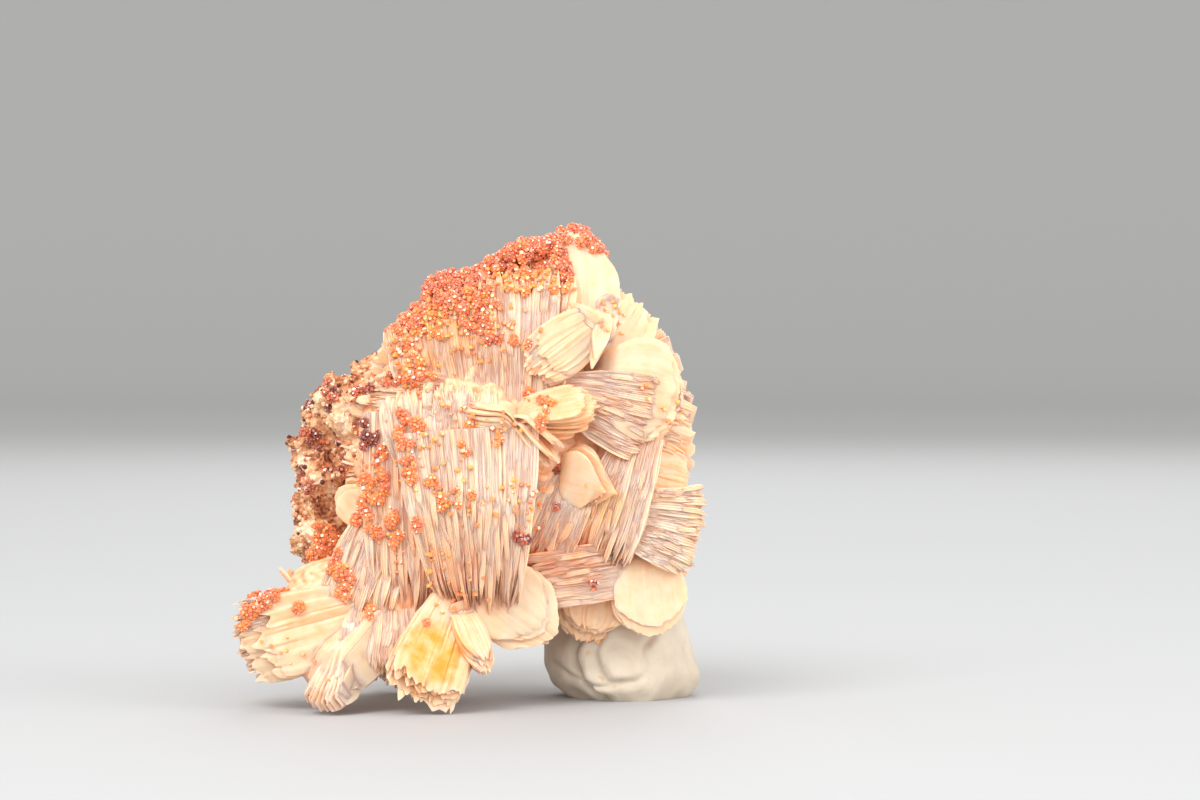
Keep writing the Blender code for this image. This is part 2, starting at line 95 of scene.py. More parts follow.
RIGHT = (
    Sheaf("right_fan", (13, -8, 46), (29.5, -5, 41.0), (0, 0.1, 1), 5, 13, 4.4, 7, 40, 30, 0.4),
    Sheaf("right_face", (19, -7.5, 48), (33.4, -5.0, 44.8), (0.3, -1, 0.2), 5, 3, 8.2, 8.2, 6, 6, 0.85),
    Sheaf("rosette_left", (8.5, -14.5, 43), (-2, -12.5, 43.5), (0.1, -0.5, 1), 2, 3.4, 3, 3, 6, 20, 0.2),
    Sheaf("rosette_right", (7, -14, 43), (20.5, -12, 44.5), (0, -0.8, 0.6), 2, 5, 3.8, 3.8, 8, 20, 0.8),
    Sheaf("rosette_low", (7, -14, 43.5), (14, -15, 35), (0.75, -0.3, 0.6), 2, 5.5, 2.6, 4, 4, 16, 0.3),
    Sheaf("disc", (13.5, -9.5, 34.5), (23.5, -12, 31.3), (0.1, -1, -0.3), 4, 3, 5.2, 5.2, 4, 8, 0.1),
    Sheaf("mid_plates", (26, -6, 40), (19.4, -8.5, 20.5), (1, 0, -0.2), 6, 10, 4, 7, 26, 24, 0.3),
    Sheaf("right_low", (22, -7, 28), (35.3, -3, 25), (0, 0, 1), 6, 13.5, 5, 7, 34, 26, 0.5),
    Sheaf("pale_shoulder", (25, -4, 34), (34.4, -0.5, 31.5), (0.3, -1, 0.2), 4, 3, 5, 5, 5, 10, 0.8),
    Sheaf("cavity", (16, -8, 36), (9.5, -9.5, 20), (1, 0, -0.4), 8, 10, 3, 5, 22, 20, 0.3),
    Sheaf("layered", (24, -5, 20.5), (5, -10.5, 18), (0, 0, 1), 7, 7, 4.5, 6, 34, 22, 0.3),
    Sheaf("low_right_face", (26.3, -5.2, 23), (27.8, -7.3, 8.9), (0.25, -1, -0.2), 4, 3, 6, 6, 5, 6, 0.85),
    Sheaf("underside", (19, -2, 18), (17, -5, 8.6), (0.3, -1, 0), 7, 6, 5.5, 5.5, 9, 14, 0.5),
)
BACK = (
    Sheaf("back_summit", (14, 4, 46), (13, 12, 66.5), (1, 0.2, 0), 12, 17, 5, 7, 30, 34, 0.4),
    Sheaf("back_right_top", (17, 5, 44), (29, 9, 56), (-0.6, 0.3, 0.7), 6, 13, 5, 7, 26, 30, 0.5),
    Sheaf("back_right", (14, 7, 36), (34, 8, 34), (0, 0.2, 1), 7, 17, 6, 7, 34, 30, 0.5),
    Sheaf("back_right_low", (15, 7, 26), (30.5, 11, 17.5), (0.4, 0, 0.9), 6, 12, 6, 7, 26, 30, 0.5),
    Sheaf("back_middle", (8, 13, 24), (10, 19, 46), (1, 0, 0), 14, 18, 5, 8, 34, 36, 0.2),
    Sheaf("back_low", (8, 10, 30), (14, 18, 12), (1, -0.2, 0.2), 10, 15, 5, 7, 30, 34, 0.5),
    Sheaf("back_foot", (-2, 2, 20), (-6, 8, 7), (1, 0.3, 0), 10, 14, 4, 6, 22, 34, 0.5),
    Sheaf("right_edge", (17, 1, 42), (34.5, 3, 40), (0, 0.5, 0.8), 6, 13, 5, 6, 24, 26, 0.7),
    Sheaf("right_edge_low", (18, 0, 27), (34, 3, 20), (0.3, 0.5, 0.8), 6, 10, 5, 6, 20, 26, 0.7),
)
BARITE_PIECES = {
    "barite_left": LEFT_AND_LOW,
    "barite_striped": STRIPED,
    "barite_upper": UPPER,
    "barite_right": RIGHT,
    "barite_back": BACK,
}
EDGE_ON_FROM = 10       # plates from which a sheaf shows their edges, and not their faces
PLATES_A_BOOK = 3       # plates that show their edges grow together in books of about this many
SHORT_BOOKS = 2.2       # short books for each long one, which has the whole length of its sheaf
BOOK_ROWS = 12          # of faces along a book, which has two faces across for each of its plates
LINE_DEPTH = 0.13       # that the edge of each plate in a book stands above the next
LEAF_FACES = (12, 34)   # along and across a plate that shows its face
BED_ROWS = 10
SHARP_FROM = 32         # degrees between two faces, from which their edge looks sharp
ROW_AT = (0, 0.4, 0.8, 1)           # shares of its length at which a plate's height is given
PETAL_ROW = (0.6, 1, 0.7, 0.12)     # where it tapers to its tip
FAN_ROW = (0.4, 0.75, 1, 0.75)      # and where it doesn't
BOOK_ROW = (0.6, 1, 0.8, 0.15)      # shares of its width that a book has there
BOOK_FAN_ROW = (0.6, 0.9, 1, 0.85)  # and where its sheaf is a fan
# Faces that grew smooth and round, with their lines as a share of the usual depth.
SMOOTH = {
    "apron": 0.4,
    "low_right_face": 0.4,
    "curl_down": 0.3,
    "curl_left": 0.3,
    "disc": 0.12,
    "pale_flank": 0.2,
    "summit": 0.5,
    "right_face": 0.6,
}
BOOK_SLOPES = (0.02, 0.28)          # how steeply a book lies over
LONG_SWAY, SHORT_SWAY = 0.4, 0.9    # the most that a book's end strays sideways
BOOK_ROOT = (0.35, 1.4)     # the share of a short book that sinks in at its root, and how far,
BOOK_TIP = (0.75, 0.5)      # and the share from which a book bends in at its tip, and how far
LONG_REACHES = (0.87, 1.02)         # shares of their sheaf's length and height that long books have
LONG_HEIGHTS = (0.92, 1)
SHORT_STARTS = (0.04, 0.62)         # where a short book starts, its length and its height, likewise
SHORT_LENGTHS = (0.25, 0.45)
SHORT_HEIGHTS = (0.97, 1.05)
LEAF_TURN = 3           # degrees that a plate which shows its face strays from its sheaf
LEAF_THICKNESSES = (0.9, 1.6)       # of such plates, against the setting
LEAF_WIDTHS = (0.92, 1.03)
ROOT_SINK = 3           # how far into the mass the root of a plate that shows its face bends
TIP_DROOP = 1.5
# The plates of a book lie over, like a fanned deck, and face this way.
LIGHT = Vector((-0.4, -0.4, 0.8))
SHIFT = Vector((-0.4, -0.5, 0))     # from the sheaves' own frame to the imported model's

# Centre and half sizes of the ellipsoids of massive barite from which the sheaves spring.
CORE = (
    ((4, 1, 35), (22, 14, 25)),
    ((9, 2, 54), (15, 9, 14)),
    ((-13, -8, 16), (15, 8, 8)),
    ((20, 2, 34), (13, 11, 22)),
)

SMALL_PLATES = 2600     # that stand on the massive barite, and the least and most radius of each
SMALL_RADIUS = (1.1, 2.4)
SMALL_GRAIN = 7         # how far apart small plates lean alike
SMALL_THICKNESS = 0.35
SMALL_WIDTHS = (0.5, 0.8)           # of a small plate, against its length
SMALL_OUT = 0.3         # how far its middle is above the surface, as a share of its radius
FRONT_FROM = -0.3       # a surface that faces the front more than this has no small plates,
TOP_FROM = 0.5          # nor has one that faces up more than this
CORE_VOXEL = 0.8
CORE_ROUGH = {"depth": 0.8, "grain": 2.5, "offset": -1}

# The rock: centre and half sizes of its slab and bulge, then the place and radius of its knobs.
ROCK = (
    ((-14, 10, 31), (12.5, 12, 19)),
    ((0, 16, 41), (17, 8, 18)),
)
ROCK_KNOBS = (
    ((-20, 2, 45.5), 3.2), ((-24, 5, 37), 3.4), ((-23, 3, 28), 3.6), ((-22, 12, 22), 3.8),
    ((-18, 0, 43), 3.0), ((-15, 6, 47), 3.4), ((-22, 14, 39), 3.6), ((-17, 18, 28), 4.0),
    ((-13, 19, 42), 3.8), ((-2, 22, 34), 3.6), ((4, 21, 49), 3.4), ((-22, -1, 34), 3.0),
    ((-22, -1, 24), 3.2), ((-8, 20, 24), 3.6), ((-9, 14, 50), 3.2),
)
ROCK_FOOT = ((-12, 9, 9), (7, 6, 10))
FOOT_ABOVE = 0.2        # how far its lowest point ends above the table,
FOOT_SPARE = 0.4        # and what the relief may then push down
ROCK_VOXEL = 0.5
ROCK_MIDDLE = Vector((-8, 12, 34))

# A patch of crystals: it runs from one point (x, z) to another and reaches `radius` around them, as
# seen from `view`, and has some balls of crystals and some single ones.
Patch = namedtuple("Patch", "start end radius balls singles")
FRONT = (0, 1, -0.03)   # the way that crystals rain on a patch which is seen from the front
CRUST = (
    Patch((-10.0, 54.9), (-8.5, 56.6), 1.3, 10, 10),
    Patch((-8.5, 56.6), (-4.3, 60.2), 1.6, 18, 12),
    Patch((-5.5, 60.3), (-1.6, 63.3), 1.8, 24, 10),
    Patch((-2.1, 63.5), (4.6, 66.7), 1.9, 38, 12),
    Patch((4.6, 67.3), (9.8, 68.5), 1.9, 34, 10),
    Patch((9.1, 68.8), (14.4, 69.4), 1.3, 26, 8),
    Patch((4.3, 65.6), (13.8, 65.8), 1.8, 44, 30),
    Patch((-3.4, 59.9), (4.6, 53.7), 1.5, 32, 24),
    Patch((-2.8, 61.4), (3.1, 59.9), 2.1, 20, 30),
    Patch((13.8, 65.5), (15.6, 62.0), 1.0, 10, 8),
    Patch((16.2, 69.4), (19.4, 67.6), 0.9, 14, 8),
    Patch((7.0, 53.1), (9.6, 52.8), 0.6, 4, 4),
    Patch((-12.6, 47.9), (-6.7, 48.3), 0.9, 18, 10),
)
CHAINS = (
    Patch((-9.2, 43.0), (-6.7, 40.3), 0.9, 9, 6),
    Patch((-10.5, 40.6), (-8.2, 37.6), 0.9, 8, 6),
    Patch((-12.8, 37.3), (-12.5, 29.5), 1.0, 16, 12),
    Patch((-14.7, 35.4), (-14.4, 28.1), 1.0, 14, 14),
    Patch((-8.5, 36.4), (-7.6, 32.3), 0.7, 7, 6),
    Patch((-11.0, 29.5), (-10.0, 24.3), 0.9, 9, 8),
    Patch((-7.0, 28.0), (-6.4, 25.3), 0.6, 5, 4),
    Patch((-14.1, 27.2), (-12.9, 24.6), 0.9, 7, 6),
    Patch((-16.0, 27.5), (-16.0, 27.2), 0.6, 3, 2),
    Patch((11.7, 44.8), (11.7, 42.4), 1.0, 7, 5),
    Patch((-22.1, 25.7), (-19.2, 21.6), 1.6, 26, 14),
    Patch((-22.4, 23.5), (-19.2, 20.4), 1.3, 20, 8),
    Patch((-19.5, 20.4), (-16.5, 18.3), 1.2, 14, 6),
    Patch((-18.3, 18.0), (-17.7, 15.8), 0.7, 5, 4),
    Patch((-24.5, 20.1), (-23.0, 19.2), 0.6, 5, 4),
    Patch((-32.8, 12.6), (-29.3, 15.6), 1.0, 20, 6),
    Patch((-29.6, 15.6), (-26.6, 18.4), 1.1, 24, 8),
    Patch((-27.0, 18.0), (-21.0, 22.0), 1.7, 44, 26),
    Patch((19.4, 8.5), (21.7, 7.9), 0.7, 3, 4),
)
DOTS = (
    Patch((-10.2, 53.2), (-7.3, 48.0), 2.4, 6, 80),
    Patch((-8.0, 56.0), (3.0, 59.5), 3.0, 5, 80),
    Patch((2.0, 62.5), (14.5, 63.0), 2.2, 5, 60),
    Patch((-8.8, 56.9), (-4.3, 55.4), 2.1, 8, 60),
    Patch((6.1, 63.6), (13.5, 62.1), 2.7, 4, 70),
    Patch((-3.0, 52.0), (9.0, 57.0), 4.0, 0, 50),
    Patch((-5.5, 33.5), (-1.9, 29.0), 1.3, 5, 26),
    Patch((1.0, 31.1), (1.2, 30.6), 0.4, 2, 1),
    Patch((-0.7, 38.5), (0.1, 36.7), 0.7, 2, 6),
    Patch((4.0, 39.0), (4.9, 38.5), 0.6, 1, 3),
    Patch((8.5, 45.9), (9.2, 45.1), 0.6, 2, 3),
    Patch((-33.9, 11.5), (-32.4, 11.8), 0.4, 2, 1),
    Patch((-24.2, 14.6), (-23.3, 14.2), 0.4, 2, 1),
    Patch((-14.4, 13.7), (-12.9, 14.9), 0.6, 3, 3),
    Patch((-5.6, 12.5), (-5.5, 12.5), 0.3, 2, 0),
    Patch((-7.3, 45.1), (10.5, 40.6), 2.1, 2, 30),
    Patch((-10.2, 39.1), (7.6, 27.2), 5.0, 0, 60),
    Patch((-10.2, 24.3), (1.6, 15.4), 4.2, 0, 36),
    Patch((4.6, 33.2), (10.5, 30.2), 2.7, 0, 16),
    Patch((25.4, 67.3), (26.9, 59.9), 1.8, 0, 16),
    Patch((19.4, 59.9), (22.4, 55.4), 2.4, 0, 14),
    Patch((25.4, 46.5), (31.3, 42.1), 1.8, 0, 14),
    Patch((-35.5, 15.4), (-20.6, 6.4), 3.0, 0, 16),
    Patch((18.0, 33.2), (19.4, 30.2), 1.2, 0, 3),
)
DARK = (
    Patch((12.9, 35.1), (13.2, 34.7), 0.6, 2, 3),
    Patch((7.9, 25.5), (9.1, 24.3), 0.7, 3, 4),
    Patch((13.1, 29.5), (13.4, 28.7), 0.4, 1, 3),
    Patch((18.0, 18.3), (19.4, 16.8), 0.7, 0, 8),
    Patch((-21.0, 47.5), (-20.0, 44.5), 1.6, 8, 4),
    Patch((-16.0, 48.5), (-12.0, 50.0), 1.0, 7, 6),
    Patch((-24.5, 40.0), (-23.0, 38.0), 1.2, 7, 4),
    Patch((-18.0, 45.0), (-15.0, 46.5), 1.4, 6, 8),
    Patch((-17.0, 42.5), (-14.5, 39.0), 1.8, 7, 10),
    Patch((-25.0, 36.0), (-23.0, 29.0), 1.2, 3, 10),
    Patch((-21.0, 38.0), (-20.0, 34.0), 2.4, 2, 12),
)
# The same on the sides that the photograph doesn't show: the way that the crystals rain, a name,
# then the patches, whose points are then to the right of and above (0, 0) as seen that way.
HIDDEN = (
    ((0, 0, -1), "top", (0.4, 0.62), (
        Patch((-10.5, -2), (-6, -1.5), 2.2, 26, 10), Patch((-6, -1.5), (2, 0), 2.6, 64, 10),
        Patch((2, 0), (10, 0.5), 2.8, 74, 10), Patch((10, 1), (18, 1), 2.4, 52, 8),
        Patch((18, 1), (20.5, 0.5), 1.2, 12, 4), Patch((-32, -11), (-25, -9), 1.6, 22, 8),
        Patch((-2, 6), (14, 8), 4.0, 16, 60), Patch((-16, 1), (-12, 3), 2.0, 8, 12),
    )),
    ((0, -1, -0.1), "back", (0.18, 0.5), (
        Patch((-12, 30), (20, 34), 9.0, 30, 120), Patch((-16, 60), (-4, 66), 3.0, 20, 40),
        Patch((0, 44), (16, 48), 6.0, 14, 60),
    )),
    ((1, 0, -0.1), "left", (0.1, 0.45), (
        Patch((-16, 26), (0, 34), 6.0, 16, 90), Patch((-14, 40), (-4, 44), 4.0, 10, 40),
    )),
)
# The lumps along the ridge that the crust has grown to: the middle of each.
RIDGE = (
    (-10.8, -1.5, 54.8), (-9.2, -1.5, 56.1), (-7.4, -1.5, 57.6), (-5.5, -1.5, 59.1), (-3.8, -1.5, 60.7),
    (-2.1, -1.5, 62.0), (0, -1.5, 62.6), (2.2, -1.5, 63.4), (4.2, -1.5, 64.8), (6.2, -1.5, 66.4),
    (8.2, -1.5, 67.0), (10.2, -1.2, 67.4), (12.2, -0.8, 67.7), (14.2, -0.2, 67.8), (16.2, 0.4, 67.6),
    (18.2, 0.8, 66.8),
)
RIDGE_HALF = (1.6, 2.8, 1.4)
RAIN_FROM = 100
GOLDEN_ANGLE = math.pi * (3 - math.sqrt(5))     # between crystals that are spread evenly round a ball
GRAINS = 5200           # on the rock
GRAIN_BATCH = 130

# Where iron or vanadium stains the barite: the middle and radius of the stain, its strength and
# its colour.
STAINS = (
    ((-4.9, -20, 8.3), 7.2, 1.8, "FFC83A"),
    ((-4, -8, 56), 13, 0.9, "F9AE62"),
    ((8, -4, 66), 10, 0.8, "F9AE62"),
    ((14, -14, 43), 8, 0.7, "FFD088"),
    ((27, -8, 42), 9, 0.5, "FBC08C"),
    ((14, -10, 22), 8, 0.9, "F4A878"),
    ((-11, -12, 33), 10, 0.6, "FBC090"),
    ((-24, -14, 13), 8, 0.7, "FFD49A"),
    ((-2, -16, 22), 8, 0.7, "FBBC84"),
    ((20, -12, 30), 5, 0.8, "FFDA9A"),
)

STAIN_FULL = 0.35       # share of its radius within which a stain has its whole strength

PUTTY_CENTRE = (24.3, 6, 4.5)
PUTTY_HALF = (11.4, 11, 17.5)
PUTTY_BELOW = 0.43      # how much flatter it is below its middle
PUTTY_LEAN = 5          # how far the top leans to the left of the base
PUTTY_TOP = 15.5        # from here up, the specimen has pressed it flat
PUTTY_SQUASH = 0.15     # to this share of its height
# Its folds: the middle (x, z) and radius of each, the angles between which it runs, seen from the
# front, its depth and its width.
FOLDS = (
    ((23.5, 7.0), 7.2, (80, 262), 0.9, 0.6),
    ((23.5, 7.0), 4.2, (120, 330), 0.35, 0.5),
    ((34.5, 4.0), 9.0, (95, 170), 0.5, 0.6),
    ((20.0, 12.0), 9.5, (215, 300), 0.4, 0.5),
)

CAMERA_PLACE = (19.55, -510.5, 55.3)
CAMERA_PITCH = 1.16     # degrees below the horizon
CAMERA_LENS = 102       # on a sensor of the width below, in millimetres
SENSOR = 36
# The soft lights, in metres: the place and size of each, and its power against the key light's.
LIGHTS = {
    "key": ((-0.35, -0.55, 0.75), 0.6, 1),
    "front": ((0.15, -1.1, 0.3), 0.8, 0.55),
    "side": ((0.75, -0.3, 0.35), 0.6, 0.45),
    "rear": ((0.1, 0.8, 0.7), 0.6, 0.5),
}
LIT = Vector((0, 0, 0.036))     # the point that the lights face


class BariteSettings(bpy.types.PropertyGroup):
    thickness: FloatProperty(
        name="Plate thickness",
        description="How thick a barite plate is at its middle",
        default=0.4 * MM,
        unit="LENGTH",
    )
    waviness: FloatProperty(
        name="Waviness", description="How far a plate bends out of flat", default=0.35 * MM, unit="LENGTH"
    )


class RockSettings(bpy.types.PropertyGroup):
    relief: FloatProperty(
        name="Relief", description="Depth of the rock's pits and lumps", default=0.9 * MM, unit="LENGTH"
    )
    grain: FloatProperty(
        name="Grain", description="Width of the grains on the rock", default=0.85 * MM, unit="LENGTH"
    )


class VanadiniteSettings(bpy.types.PropertyGroup):
    width: FloatProperty(
        name="Crystal width", description="Width across a usual crystal", default=0.6 * MM, unit="LENGTH"
    )
    per_ball: IntProperty(
        name="Crystals in a ball", description="How many crystals make up one ball", default=20, min=1
    )


class PuttySettings(bpy.types.PropertyGroup):
    crease: FloatProperty(
        name="Dents", description="Depth of the dents from kneading", default=0.3 * MM, unit="LENGTH"
    )


class StageSettings(bpy.types.PropertyGroup):
    key: FloatProperty(name="Key light", description="Power of the key light", default=7.0, unit="POWER")
    fill: FloatProperty(name="Fill", description="Strength of the light all round", default=1.2)


def linear(code):
    """An sRGB colour as hex, such as F2C9A0, as linear red, green, blue and alpha."""
    shades = [int(code[at:at + 2], 16) / 255 for at in (0, 2, 4)]
    return (*[s / 12.92 if s <= 0.04045 else ((s + 0.055) / 1.055) ** 2.4 for s in shades], 1)


def fill(tree, target, inputs):
    """Sets a node's inputs to values, or links them from sockets."""
    for key, value in inputs.items():
        if isinstance(value, bpy.types.NodeSocket):
            tree.links.new(value, target.inputs[key])
        else:
            target.inputs[key].default_value = value


def node(tree, kind, inputs=None, stops=(), **settings):
    """Adds a node, with its settings, and its inputs as values or as sockets to link from.

    The stops are those of a colour ramp: the place and colour of each.
    """
    made = tree.nodes.new(kind)
    for name, value in settings.items():
        setattr(made, name, value)
    fill(tree, made, inputs or {})
    elements = made.color_ramp.elements if stops else ()
    while len(elements) < len(stops):
        elements.new(0.5)
    for element, (place, colour) in zip(elements, stops):
        element.position = place
        element.color = linear(colour)
    return made


def blank_material(name):
    made = bpy.data.materials.new(name)
    made.use_nodes = True
    return made, made.node_tree, made.node_tree.nodes["Principled BSDF"]


def barite_material():
    """Barite, grown as thin plates: pearly, translucent and silky, with iron stain and painted shade in
    the gaps.
    """
    made, tree, surface = blank_material("translucent_barite_plates")
    place = node(tree, "ShaderNodeTexCoord").outputs["Object"]
    grain = node(tree, "ShaderNodeAttribute", attribute_name="grain").outputs["Vector"]
    plate = node(tree, "ShaderNodeAttribute", attribute_name="plate").outputs["Color"]
    parts = node(tree, "ShaderNodeSeparateColor", {"Color": plate}).outputs
    proud, tint = parts["Red"], parts["Blue"]

    # Streaks run along each plate: growth lines about 0.4 mm apart.
    lines = node(tree, "ShaderNodeMapping", {"Vector": grain, "Scale": (2.4, 0.16, 1)}).outputs[0]
    streak = node(tree, "ShaderNodeTexNoise", {"Vector": lines, "Scale": 1, "Detail": 3}).outputs["Fac"]
    # Cloudy zones about 9 mm across, as the iron in the water came and went.
    zone = node(tree, "ShaderNodeTexNoise", {"Vector": place, "Scale": 110, "Detail": 2}).outputs["Fac"]
    mottle = node(tree, "ShaderNodeTexNoise", {"Vector": place, "Scale": 520, "Detail": 3}).outputs["Fac"]

    pale = node(
        tree,
        "ShaderNodeValToRGB",
        {"Fac": tint},
        stops=((0, "FDD0AE"), (0.5, "FFDCC0"), (1, "FDCAA6")),
    ).outputs["Color"]
    peach = node(
        tree, "ShaderNodeValToRGB", {"Fac": streak}, stops=((0.3, "FCBC92"), (0.7, "FED2AE"))
    ).outputs["Color"]
    shade = node(tree, "ShaderNodeMath", {0: zone, 1: mottle}, operation="ADD").outputs[0]
    much = node(
        tree,
        "ShaderNodeMapRange",
        {"Value": shade, "From Min": 0.85, "From Max": 1.2, "To Min": 0.15, "To Max": 0.8},
    ).outputs[0]
    mixed = node(
        tree, "ShaderNodeMix", {"Factor": much, MIX_A: pale, MIX_B: peach}, data_type="RGBA"
    ).outputs[MIX_RESULT]

    # Iron stain and painted shade gather low between the plates and fade towards their edges: the lower a
    # point lies, the more of the darker orange it is painted.
    low = node(
        tree,
        "ShaderNodeMapRange",
        {"Value": proud, "From Min": 0.5, "From Max": 0.9, "To Min": 0.7, "To Max": 0},
    ).outputs[0]
    stain_and_shade = node(tree, "ShaderNodeMath", {0: low, 1: mottle}, operation="MULTIPLY").outputs[0]
    washed = node(
        tree,
        "ShaderNodeMix",
        {"Factor": stain_and_shade, MIX_A: mixed, MIX_B: linear("F09C62")},
        data_type="RGBA",
    ).outputs[MIX_RESULT]
    for middle, radius, strength, colour in STAINS:
        apart = node(
            tree, "ShaderNodeVectorMath", {0: place, 1: Vector(middle) * MM}, operation="DISTANCE"
        ).outputs["Value"]
        much = node(
            tree,
            "ShaderNodeMapRange",
            {
                "Value": apart,
                "From Min": radius * MM,
                "From Max": radius * STAIN_FULL * MM,
                "To Min": 0,
                "To Max": strength,
            },
            interpolation_type="SMOOTHSTEP",
        ).outputs[0]
        cloudy = node(tree, "ShaderNodeMath", {0: much, 1: mottle}, operation="MULTIPLY").outputs[0]
        washed = node(
            tree,
            "ShaderNodeMix",
            {"Factor": cloudy, MIX_A: washed, MIX_B: linear(colour)},
            data_type="RGBA",
            blend_type="MULTIPLY",
        ).outputs[MIX_RESULT]

    bump = node(tree, "ShaderNodeBump", {"Height": streak, "Strength": 0.3, "Distance": 0.1 * MM})
    fill(
        tree,
        surface,
        {
            "Base Color": washed,
            "Normal": bump.outputs[0],
            "Roughness": 0.42,
            "IOR": 1.64,
            "Specular IOR Level": 0.4,
            "Subsurface Weight": 0.6,
            "Subsurface Radius": (1.0, 0.62, 0.36),
            "Subsurface Scale": 2.2 * MM,
        },
    )
    return made


def core_material():
    """Massive barite deep between the plates, where iron stain and grime gather."""
    made, tree, surface = blank_material("stained_massive_barite")
    place = node(tree, "ShaderNodeTexCoord").outputs["Object"]
    fine = node(tree, "ShaderNodeTexNoise", {"Vector": place, "Scale": 900, "Detail": 4}).outputs["Fac"]
    colour = node(
        tree,
        "ShaderNodeValToRGB",
        {"Fac": fine},
        stops=((0.3, "D8905E"), (0.5, "EEBA90"), (0.7, "F8D4B2")),
    )
    bump = node(tree, "ShaderNodeBump", {"Height": fine, "Strength": 0.6, "Distance": 0.3 * MM})
    fill(
        tree,
        surface,
        {
            "Base Color": colour.outputs["Color"],
            "Normal": bump.outputs[0],
            "Roughness": 0.7,
        },
    )
    return made


def rock_material():
    """Iron-stained matrix rock, broken and weathered: sandy, dull and granular."""
    made, tree, surface = blank_material("iron_stained_sandy_rock")
    place = node(tree, "ShaderNodeTexCoord").outputs["Object"]
    tint = node(tree, "ShaderNodeAttribute", attribute_name="tint").outputs["Fac"]
    patch = node(tree, "ShaderNodeTexNoise", {"Vector": place, "Scale": 230, "Detail": 3}).outputs["Fac"]
    fine = node(tree, "ShaderNodeTexNoise", {"Vector": place, "Scale": 1600, "Detail": 4}).outputs["Fac"]
    speck = node(tree, "ShaderNodeMath", {0: patch, 1: fine}, operation="ADD").outputs[0]
    mixed = node(tree, "ShaderNodeMath", {0: speck, 1: tint}, operation="ADD").outputs[0]
    share = node(tree, "ShaderNodeMapRange", {"Value": mixed, "From Min": 1, "From Max": 2}).outputs[0]
    colour = node(
        tree,
        "ShaderNodeValToRGB",
        {"Fac": share},
        stops=(
            (0.06, "4E2A22"), (0.22, "8A5038"), (0.38, "C07C52"),
            (0.55, "E0A87C"), (0.75, "F0CDA6"), (0.95, "F5E2CC"),
        ),
    )
    bump = node(tree, "ShaderNodeBump", {"Height": fine, "Strength": 0.9, "Distance": 0.3 * MM})
    fill(
        tree,
        surface,
        {
            "Base Color": colour.outputs["Color"],
            "Normal": bump.outputs[0],
            "Roughness": 0.82,
        },
    )
    return made


def vanadinite_material():
    """Vanadinite, grown as small hexagonal prisms: resinous, glossy and slightly translucent."""
    made, tree, surface = blank_material("resinous_vanadinite_crystals")
    tint = node(tree, "ShaderNodeAttribute", attribute_name="tint").outputs["Fac"]
    colour = node(
        tree,
        "ShaderNodeValToRGB",
        {"Fac": tint},
        stops=((0, "5A241A"), (0.22, "964430"), (0.48, "E07A52"), (0.72, "F39650"), (1, "FFB84A")),
    )
    fill(
        tree,
        surface,
        {
            "Base Color": colour.outputs["Color"],
            "Roughness": 0.24,
            "IOR": 2.2,
            "Specular IOR Level": 0.5,
            "Subsurface Weight": 0.25,
            "Subsurface Radius": (1.0, 0.4, 0.15),
            "Subsurface Scale": 0.4 * MM,
        },
    )
    return made


def putty_material():
    """Mounting putty, kneaded by hand: dull and waxy, with fine creases and orange crumbs in it."""
    made, tree, surface = blank_material("kneaded_mounting_putty")
    place = node(tree, "ShaderNodeTexCoord").outputs["Object"]
    cloud = node(tree, "ShaderNodeTexNoise", {"Vector": place, "Scale": 160, "Detail": 4}).outputs["Fac"]
    base = node(
        tree, "ShaderNodeValToRGB", {"Fac": cloud}, stops=((0.3, "C2B29E"), (0.7, "D6CAB8"))
    ).outputs["Color"]
    crumb = node(tree, "ShaderNodeTexNoise", {"Vector": place, "Scale": 700, "Detail": 1}).outputs["Fac"]
    share = node(
        tree,
        "ShaderNodeMapRange",
        {"Value": crumb, "From Min": 0.7, "From Max": 0.78, "To Min": 0, "To Max": 0.5},
    ).outputs[0]
    stained = node(
        tree,
        "ShaderNodeMix",
        {"Factor": share, MIX_A: base, MIX_B: linear("D0925C")},
        data_type="RGBA",
    )
    # Finger ridges and kneading creases about 1.2 mm apart, in arcs round the fold in front.
    arc_middle = node(
        tree, "ShaderNodeMapping", {"Vector": place, "Location": Vector((-22.9, 0, -5.5)) * MM}
    ).outputs[0]
    arcs = node(
        tree,
        "ShaderNodeTexWave",
        {"Vector": arc_middle, "Scale": 260, "Distortion": 5, "Detail": 3, "Detail Scale": 1.2},
        wave_type="RINGS",
        rings_direction="Y",
    ).outputs["Fac"]
    bump = node(tree, "ShaderNodeBump", {"Height": arcs, "Strength": 0.2, "Distance": 0.12 * MM})
    fill(
        tree,
        surface,
        {
            "Base Color": stained.outputs[MIX_RESULT],
            "Normal": bump.outputs[0],
            "Roughness": 0.6,
        },
    )
    return made


def finished(name, bm, material):
    """Turns a bmesh in millimetres into a piece that rides on the root body."""
    bmesh.ops.scale(bm, vec=Vector((MM, MM, MM)), verts=bm.verts)
    mesh = bpy.data.meshes.new(name)
    bm.to_mesh(mesh)
    bm.free()
    mesh.set_sharp_from_angle(angle=math.radians(SHARP_FROM))
    mesh.materials.append(material)
    obj = bpy.data.objects.new(name, mesh)
    bpy.context.scene.collection.objects.link(obj)
    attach(obj, "root")
    return obj


def between(table, share):
    """The value of a table of rows at ROW_AT, between its rows."""
    for at, (low, high) in enumerate(zip(ROW_AT, ROW_AT[1:])):
        if share <= high:
            mix = (share - low) / (high - low)
            return table[at] * (1 - mix) + table[at + 1] * mix
    return table[-1]


def axes(sheaf):
    """The way a sheaf's plates run, stack up and stand out from the mass."""
    run = (Vector(sheaf.tip) - Vector(sheaf.root)).normalized()
    stack = Vector(sheaf.stack)
    stack = (stack - run * stack.dot(run)).normalized()
    outward = run.cross(stack)
    middle = (Vector(sheaf.root) + Vector(sheaf.tip)) / 2
    if outward.dot(middle - CENTRE) < 0:
        outward = -outward
    return run, stack, outward


